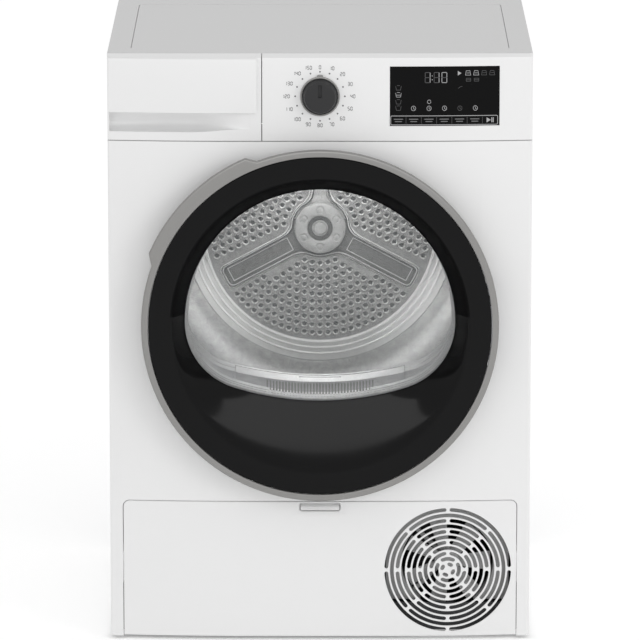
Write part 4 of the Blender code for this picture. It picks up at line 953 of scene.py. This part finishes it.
def make_flap_pull(top):
    """The cup behind the flap's pull opening, with a ramp in it for the fingers."""
    cup = prism("flap_pull_cup", rectangle(-0.0320, 0.0320, top - 0.0175, top - 0.0004, 0.004), 0.0024,
                0.0110, WHITE_PLASTIC)
    hollow = prism("hollow", rectangle(-0.0290, 0.0290, top - 0.0142, top - 0.0014, 0.0040), -0.01, 0.0094,
                   WHITE_PLASTIC)
    cut(cup, hollow)
    ramp = across("ramp", [-0.0276, 0.0276], lambda x: [
        (0.0012, top - 0.0130), (0.0010, top - 0.0124), (0.0026, top - 0.0080), (0.0056, top - 0.0060),
        (0.0096, top - 0.0052), (0.0096, top - 0.0130)], WHITE_PLASTIC)
    show(join(cup, ramp), "flap", "white_plastic")


def make_flap():
    low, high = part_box("kick_flap")
    make_flap_skin(low.x, high.x, low.z, high.z)
    make_flap_rim(low.x, high.x, low.z, high.z)
    make_flap_pull(high.z)


# ---- front panel and control zone

DOOR_HOLE = 0.2250


def make_panel():
    low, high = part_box("front_panel")
    flap_low, flap_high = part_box("kick_flap")
    bottom, top = low.z, high.z
    sheet, gap, corner = 0.0015, 0.0008, 0.006

    def skin(x):
        d = front_depth(x)
        return [(d, bottom), (d, top - 0.0008), (d + 0.0002, top - 0.0002), (d + 0.0008, top),
                (d + sheet, top), (d + sheet, bottom)]
    edge = HALF_WIDTH - 0.00001
    face = across("front_panel_skin", stations(-edge, edge, 0.010), skin, WHITE_STEEL)
    hole = circle(0, DOOR_Z, DOOR_HOLE, ROUND)
    low_cut = rectangle(flap_low.x - gap, flap_high.x + gap, -0.05, flap_high.z + gap, FLAP_CORNER + gap, 8)
    slot = rectangle(-0.2415, -0.2300, DOOR_Z - 0.013, DOOR_Z + 0.013)
    tools = [prism("hole", hole, -0.02, 0.028, WHITE_STEEL), prism("low", low_cut, -0.02, 0.05, WHITE_STEEL),
             prism("slot", slot, -0.02, 0.05, WHITE_STEEL)]
    tools += [corner_cutter(side, HALF_WIDTH, bottom + corner, corner, -0.01, 0.012, WHITE_STEEL)
              for side in (-1, 1)]
    show(cut(face, *tools, angle=28), "cabinet", "white_steel", "front_panel")
    for side, name in ((-1, "left"), (1, "right")):
        start = front_depth(HALF_WIDTH) + 0.0002
        x0, x1 = sorted((side * HALF_WIDTH, side * (HALF_WIDTH - sheet)))
        flange = prism("front_panel_return_" + name, rectangle(x0, x1, bottom + 0.0055, top), start, 0.0315,
                       WHITE_STEEL)
        show(flange, "cabinet", "white_steel")
    profile = [(DOOR_HOLE, 0.0016), (DOOR_HOLE, 0.0080), (DOOR_HOLE + 0.0012, 0.0084),
               (DOOR_HOLE + 0.0014, 0.0016)]
    show(ring("front_panel_hole_lip", DOOR_MIDDLE, profile, WHITE_STEEL), "cabinet", "white_steel")


ZONE_BOTTOM, ZONE_EDGE = 0.7232, 0.8415


def zone_section(deep):
    """Section of the control zone, with a soft front edge under the worktop."""
    def section(x):
        d = front_depth(x)
        return [
            (d + 0.0006, ZONE_BOTTOM), (d, ZONE_BOTTOM + 0.0006), (d, ZONE_EDGE - 0.0016),
            (d + 0.0004, ZONE_EDGE - 0.0003), (d + 0.0016, ZONE_EDGE + 0.0004),
            (0.0150, HEIGHT - 0.0005), (0.0150, 0.8335), (deep, 0.8335), (deep, ZONE_BOTTOM),
        ]
    return section


def make_fascia():
    left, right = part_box("control_fascia")[0].x, HALF_WIDTH
    deep, wall, gap = 0.0315, 0.003, 0.0003
    fascia = across("control_fascia_fine", stations(left, right), zone_section(deep), WHITE_PLASTIC)
    hollow = across("hollow", stations(left + wall, right - wall - 0.001, 0.02), lambda x: [
        (front_depth(x) + wall, ZONE_BOTTOM + wall), (front_depth(x) + wall, ZONE_EDGE - 0.010),
        (deep + 0.01, ZONE_EDGE - 0.010), (deep + 0.01, ZONE_BOTTOM + wall)], WHITE_PLASTIC)
    screen_low, screen_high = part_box("display_window")
    recess = bowed_box("recess", stations(screen_low.x - gap, screen_high.x + gap), -0.01, 0.0016,
                       screen_low.z - gap, screen_high.z + gap, WHITE_PLASTIC)
    shaft = prism("shaft", circle(0, KNOB_Z, 0.0036, 32), -0.01, 0.01, WHITE_PLASTIC)
    show(cut(fascia, hollow, recess, shaft, angle=28), "cabinet", "white_plastic", "control_fascia")
    edge = HALF_WIDTH - 0.002
    lip = bowed_box("panel_seam_lip", stations(-edge, edge, 0.012), 0.0022, 0.0034, ZONE_BOTTOM - 0.0060,
                    ZONE_BOTTOM - 0.0004, GREY_PLASTIC)
    show(lip, "cabinet", "grey_plastic")


PLATE_BOTTOM, PLATE_TOP = 0.7637, 0.8410


def make_drawer():
    low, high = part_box("tank_drawer_front")
    front = across("tank_drawer_fine", stations(low.x, high.x), zone_section(0.030), WHITE_PLASTIC)

    def proud(x):
        d = front_depth(x)
        return [(d - 0.0055, PLATE_BOTTOM), (d - 0.0062, 0.7640), (d - 0.0065, 0.7648),
                (d - 0.0065, 0.8390), (d - 0.0062, 0.8398), (d - 0.0050, PLATE_TOP),
                (d + 0.0010, PLATE_TOP), (d + 0.0010, PLATE_BOTTOM)]
    plate_piece = across("plate", stations(-0.2977, -0.0890, 0.006), proud, WHITE_PLASTIC)
    corner = arc(-0.0920, PLATE_BOTTOM + 0.003, 0.003, 0, -90, 6)
    beyond = [(-0.0800, 0.7500), (-0.0800, 0.7700), (-0.0890, 0.7700)]
    cut(plate_piece, prism("corner", [*beyond, *corner, (-0.0920, 0.7500)], -0.03, 0.0005, WHITE_PLASTIC))
    join(front, plate_piece)

    def scoop(x):
        """A smooth hollow behind the plate's lower edge that fades out to the right."""
        d = front_depth(x)
        fade = max(0.0, min(1.0, (-0.0980 - x) / 0.085))
        fade = fade * fade * (3 - 2 * fade)
        deep = min(0.0003 + 0.0225 * fade, 0.0270 - d)
        lip = 0.7356 + 0.0050 * (1 - fade)
        under_plate = PLATE_BOTTOM - 0.0003
        points = [(d - 0.012, lip - 0.0004), (d - 0.012, under_plate), (d + 0.0002, under_plate)]
        for i in range(15):
            v = 0.5 + 0.5 * math.cos(math.pi * i / 14)
            swell = math.sin(math.pi * v) ** 0.45 * (1.0 - 0.62 * v) / 0.80
            points.append((d + deep * max(0.03, min(1.0, swell)), lip + (0.7750 - lip) * v))
        return points
    cut(front, across("scoop", stations(-0.2958, -0.0985, 0.005), scoop, WHITE_PLASTIC), angle=28)
    show(front, "tank_drawer", "white_plastic", "tank_drawer_front")


def make_knob():
    centre = (0.0, KNOB_Z)
    profile = [(0.0255, -0.0034), (0.0258, -0.0039), (0.0264, -0.0040), (0.0270, -0.0040), (0.0275, -0.0037),
               (0.0278, -0.0031), (0.0278, -0.0003), (0.0255, -0.0003)]
    bezel = ring("knob_bezel_fine", centre, profile, RING_GREY)
    bump = [(-0.0052, KNOB_Z + 0.0268), (0.0052, KNOB_Z + 0.0268), (0.0040, KNOB_Z + 0.0296),
            (0.0032, KNOB_Z + 0.0304), (-0.0032, KNOB_Z + 0.0304), (-0.0040, KNOB_Z + 0.0296)]
    join(bezel, prism("bump", bump, -0.0036, -0.0003, RING_GREY))
    show(bezel, "cabinet", "satin_grey", "knob_bezel")
    profile = [
        (0.0198, -0.0180), (0.0206, -0.0179), (0.0212, -0.0172), (0.0238, -0.0056), (0.0241, -0.0050),
        (0.0247, -0.0046), (0.0250, -0.0040), (0.0250, -0.0006), (0.0032, -0.0006), (0.0032, 0.0190),
    ]
    cap = turned("knob_cap_fine", centre, profile, KNOB_BLACK, 128, angle=30)
    groove = prism("groove", rectangle(-0.0026, 0.0026, KNOB_Z + 0.0005, KNOB_Z + 0.0188, 0.0012, 3), -0.03,
                   -0.0155, KNOB_BLACK)
    show(cut(cap, groove, angle=30), "knob", "dark_plastic", "knob_cap")


# ---- printed and lit marks

DIAL_CIRCLE, PRINT_LIFT = 0.0348, 0.00018


def flat_mark(outline, surface, lift):
    """A thin inlaid mark lying on the bowed front skin."""
    return plate("mark", [(outline, 0.0)], lambda x, z: front_depth(x) - lift, lift * 0.9, surface)


def gather(name, parts, slot):
    """One piece of the cabinet out of many small marks."""
    work = bmesh.new()
    for part in parts:
        work.from_mesh(part.data)
    mesh = bpy.data.meshes.new(name)
    work.to_mesh(mesh)
    work.free()
    mesh.materials.append(parts[0].data.materials[0])
    for part in parts:
        bpy.data.objects.remove(part, do_unlink=True)
    show(placed(name, mesh), "cabinet", slot)


SEGMENTS = {
    "a": ((0, 2), (1, 2)), "b": ((1, 2), (1, 1)), "c": ((1, 1), (1, 0)), "d": ((0, 0), (1, 0)),
    "e": ((0, 1), (0, 0)), "f": ((0, 2), (0, 1)), "g": ((0, 1), (1, 1)),
}
DIGITS = {"0": "abcdef", "1": "bc", "2": "abged", "3": "abgcd", "4": "fgbc", "5": "afgcd", "6": "afgedc",
          "7": "abc", "8": "abcdefg", "9": "abcdfg"}


def bar(p, q, half):
    """A thin hexagonal bar between two points, with points along it so that it can follow a bow."""
    p, q = Vector(p), Vector(q)
    along = (q - p).normalized()
    side = Vector((-along.y, along.x)) * half
    tip = along * half
    steps = max(1, round((q - p).length / 0.006))
    run = [p + (q - p) * i / steps for i in range(steps + 1)]
    there, back_again = [v + side for v in run], [v - side for v in reversed(run)]
    return [tuple(v) for v in (p - tip, *there, q + tip, *back_again)]


def digit_bars(text, x, z, width, height, half, gap, only=None):
    """Bars of seven-segment digits that start at x, z; only picks the segments."""
    bars = []
    for char in text:
        for key in (only or DIGITS[char]):
            (ax, az), (bx, bz) = SEGMENTS[key]
            p = (x + ax * width, z + az * height / 2)
            q = (x + bx * width, z + bz * height / 2)
            d = (Vector(q) - Vector(p)).normalized() * half * 1.3
            bars.append(bar(Vector(p) + d, Vector(q) - d, half))
        x += width + gap
    return bars


def make_dial_print():
    """Sixteen dots round the knob, each with a small plain number beside it."""
    height, width, half, gap = 0.0048, 0.0024, 0.00040, 0.0015
    parts = []
    for i in range(16):
        a = math.radians(90 - 22.5 * i)
        x, z = DIAL_CIRCLE * math.cos(a), KNOB_Z + DIAL_CIRCLE * math.sin(a)
        parts.append(flat_mark(circle(x, z, 0.0012, 14), PRINT, PRINT_LIFT))
        label = str(10 * i)
        total = len(label) * width + (len(label) - 1) * gap
        reach = 0.0412 + 0.0016 * abs(math.cos(a)) + total / 2 * abs(math.cos(a))
        cx, cz = reach * math.cos(a), KNOB_Z + reach * math.sin(a)
        for outline in digit_bars(label, cx - total / 2, cz - height / 2, width, height, half, gap):
            parts.append(flat_mark(outline, PRINT, PRINT_LIFT))
    gather("dial_marks", parts, "dark_plastic")


def make_display():
    """The black display, laid out in millimetres right of its left edge and down from its top edge."""
    low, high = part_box("display_window")
    mm = 0.001
    lift = 0.0004
    pane = bowed_box("display_window_fine", stations(low.x, high.x), -0.0002, 0.0012, low.z, high.z,
                     SCREEN_BLACK)
    show(pane, "cabinet", "black_gloss", "display_window")
    marks = {"lit": [], "mid": [], "dim": []}
    colours = {"lit": LIT, "mid": MID, "dim": DIM}

    def at(u, v):
        return low.x + u * mm, high.z - v * mm

    def mark(outline, level):
        marks[level].append(flat_mark(outline, colours[level], lift))

    def line(points, half, level, closed=False):
        run = list(points) + ([points[0]] if closed else [])
        for p, q in zip(run, run[1:]):
            mark(bar(at(*p), at(*q), half), level)
    # Time: three digits, whose unlit segments show faintly.
    for char, u in zip("110", (49.2, 61.7, 72.6)):
        x, z = at(u, 22.8)
        for key in "abcdefg":
            for outline in digit_bars("8", x, z, 6.9 * mm, 14.4 * mm, 0.42 * mm, 0.0, only=key):
                mark(outline, "lit" if key in DIGITS[char] else "dim")
    for v in (13.2, 18.6):
        mark(circle(*at(59.1, v), 0.63 * mm, 8), "lit")
    # A play arrow and a row of plain pictograms.
    mark([at(94.9, 6.5), at(94.9, 12.7), at(100.0, 9.6)], "lit")
    half = 0.295 * mm
    for u, level in ((106.7, "lit"), (118.0, "lit"), (129.2, "dim"), (140.4, "dim")):
        line([(u, 6.2), (u + 5.1, 6.2), (u + 6.2, 12.4), (u - 1.1, 12.4)], half, level, closed=True)
        line([(u + 0.6, 9.3), (u + 4.8, 9.3)], half, level)
    for u in (106.7, 118.0):
        line([(u, 16.9), (u + 6.2, 16.9), (u + 6.2, 21.1), (u, 21.1)], half, "dim", closed=True)
        line([(u, 19.0), (u + 6.2, 19.0)], half, "dim")
    line([(95.5, 31.0), (98.3, 28.9), (101.1, 28.2)], half, "dim")
    # Four baskets on the left, the second one lit.
    for v, level in ((27.6, "dim"), (37.5, "lit"), (47.4, "dim"), (56.4, "dim")):
        line([(7.9, v), (9.0, v + 5.6), (14.6, v + 5.6), (15.7, v)], half, level)
        line([(9.8, v - 0.8), (13.8, v - 0.8)], half, level)
        if level == "lit":
            line([(9.3, v + 2.8), (14.3, v + 2.8)], half, level)
    # A row of small clocks over the keys.
    for u, level in ((33.0, "lit"), (54.8, "lit"), (76.4, "lit"), (98.0, "dim"), (119.7, "lit")):
        dial = [(u + 3.1 * math.cos(a), 59.2 + 3.4 * math.sin(a)) for a in even_angles(10)]
        line(dial, half, level, closed=True)
        line([(u, 57.2), (u, 59.5), (u + 1.7, 60.5)], half, level)
    small_dial = [(54.8 + 2.5 * math.cos(a), 49.9 + 2.7 * math.sin(a)) for a in even_angles(8)]
    line(small_dial, half, "lit", closed=True)
    # The row of touch keys, outlined, with a short plain mark in each cell.
    left, right = 1.1, 151.1
    line(rectangle(left, right, 69.9, 82.6, 1.7, 3), 0.42 * mm, "lit", closed=True)
    for k in range(7):
        middle = left + (right - left) * (k + 0.5) / 7
        if k:
            edge = left + (right - left) * k / 7
            line([(edge, 71.6), (edge, 80.9)], 0.28 * mm, "dim")
        if k < 6:
            line([(middle - 6.2, 74.6), (middle + 6.2, 74.6)], 0.55 * mm, "mid")
            line([(middle - 4.5, 77.9), (middle + 4.5, 77.9)], 0.55 * mm, "mid")
    mark([at(middle - 4.8, 72.7), at(middle - 4.8, 79.8), at(middle + 1.1, 76.2)], "lit")
    for u in (2.5, 4.5):
        line([(middle + u, 73.1), (middle + u, 79.3)], 0.63 * mm, "lit")
    for name, level in (("lit", "lit"), ("key", "mid"), ("dim", "dim")):
        gather("display_" + name + "_marks", marks[level], "black_gloss")


# ---- nodes that keep their CAD shape

def dress(node, surface, bevel):
    """A new finish on a CAD node, with small rounded edges from a modifier."""
    made = frame["nodes"][node]
    mesh = made.data
    if "custom_normal" in mesh.attributes:
        mesh.attributes.remove(mesh.attributes["custom_normal"])
    mesh.materials.clear()
    mesh.materials.append(surface)
    mesh.polygons.foreach_set("use_smooth", [True] * len(mesh.polygons))
    weld = made.modifiers.new("weld", "WELD")
    weld.merge_threshold = 0.00001
    flatten = made.modifiers.new("flatten", "DECIMATE")
    flatten.decimate_type = "DISSOLVE"
    flatten.angle_limit = math.radians(1.0)
    rounded_edges(made, bevel)


def dress_rest():
    materials = {m["node"]: m["material_slot"] for m in frame["record"]["subparts"]}
    for node, made in frame["nodes"].items():
        if not made.hide_render:
            # The cooling fan's parts get pale grey in place of their listed finish, as painted light behind
            # the grille.
            surface = GREY_PLASTIC if node.startswith("cooling_fan") else FINISHES[materials[node]]
            dress(node, surface, 0.0008 if node.startswith("worktop") else 0.0005)


# ---- stage

WORLD_LIGHT, FLOOR_GLOW = 0.84, 0.26
LENS, CAMERA_AWAY, CAMERA_HEIGHT, CAMERA_TILT = 329.1, 8.0806, 2.1654, 11.87


def make_floor():
    """A pale floor that glows a little, just under the feet."""
    level = -0.0002
    loop = [(x, z, level) for x, z in rectangle(-14.0, 14.0, -12.0, 16.0)]
    mesh = bpy.data.meshes.new("studio_floor")
    mesh.from_pydata(loop, [], [(0, 1, 2, 3)])
    shader = FLOOR.node_tree.nodes["Principled BSDF"]
    shader.inputs["Emission Color"].default_value = (1, 1, 1, 1)
    shader.inputs["Emission Strength"].default_value = FLOOR_GLOW
    mesh.materials.append(FLOOR)
    floor = placed("studio_floor", mesh)


def make_world():
    world = bpy.data.worlds.new("studio")
    world.use_nodes = True
    world.node_tree.nodes["Background"].inputs["Color"].default_value = (1, 1, 1, 1)
    world.node_tree.nodes["Background"].inputs["Strength"].default_value = WORLD_LIGHT
    bpy.context.scene.world = world
    bpy.context.scene.view_settings.view_transform = "Standard"


def area(name, place, target, size, power, glossy=True, spread=180.0):
    light = bpy.data.lights.new(name, "AREA")
    light.shape = "RECTANGLE"
    light.size, light.size_y = size
    light.energy = power
    light.spread = math.radians(spread)
    made = placed(name, light)
    made.location = place
    aim = Vector(target) - Vector(place)
    made.rotation_euler = aim.to_track_quat("-Z", "Y").to_euler()
    made.visible_camera = False
    made.visible_glossy = glossy
    return made


def make_lights():
    """A soft light over the front and one from the side, and small lamps inside the machine."""
    front = (0, FRONT_Y, DOOR_Z)
    shine = area("front_soft_light", (0, FRONT_Y - 2.9, DOOR_Z + 2.02), front, (4.3, 2.05), 89)
    shine.visible_diffuse = False
    area("side_soft_light", (2.2, FRONT_Y - 2.4, 1.5), front, (1.2, 1.2), 13, glossy=False)
    area("drum_lamp", (0.0, back(0.125), DRUM_Z + 0.16), (0, back(0.46), DRUM_Z - 0.05), (0.22, 0.08), 0.22)
    area("drum_top_lamp", (0.0, back(0.330), DRUM_Z + 0.20), (0, back(0.47), DRUM_Z + 0.04), (0.20, 0.05),
         0.62, glossy=False)
    area("mouth_lamp", (0.0, back(0.055), DOOR_Z + 0.150), (0, back(0.075), DOOR_Z - 0.10), (0.20, 0.03),
         0.17, glossy=False, spread=60)
    area("duct_lamp", (0.0, back(0.480), DRUM_Z), (0, back(0.60), DRUM_Z), (0.30, 0.30), 0.012)
    for side in (-1, 1):
        place, target = (0.135 * side, back(0.14), DRUM_Z - 0.02), (0.215 * side, back(0.33), DRUM_Z - 0.14)
        area("cone_lamp", place, target, (0.06, 0.06), 0.10, spread=60)
    x, z = GRILLE
    area("grille_lamp", (x, back(0.016), z), (x, back(0.12), z), (0.16, 0.14), 0.0050)


def make_camera():
    lens = bpy.data.cameras.new("camera")
    lens.sensor_width = 36.0
    lens.lens = LENS
    lens.clip_start, lens.clip_end = 0.1, 100.0
    camera = placed("camera", lens)
    camera.location = (0.0, FRONT_Y - CAMERA_AWAY, CAMERA_HEIGHT)
    camera.rotation_euler = (math.radians(90 - CAMERA_TILT), 0.0, 0.0)
    bpy.context.scene.camera = camera


make_door_ring()
make_door_cover()
make_door_inside()
make_drum()
make_bulkhead()
make_mouth()
make_collar_and_duct()
make_drum_bearings()
make_filter()
make_flap()
make_panel()
make_fascia()
make_drawer()
make_knob()
make_dial_print()
make_display()
dress_rest()
make_floor()
make_world()
make_lights()
make_camera()
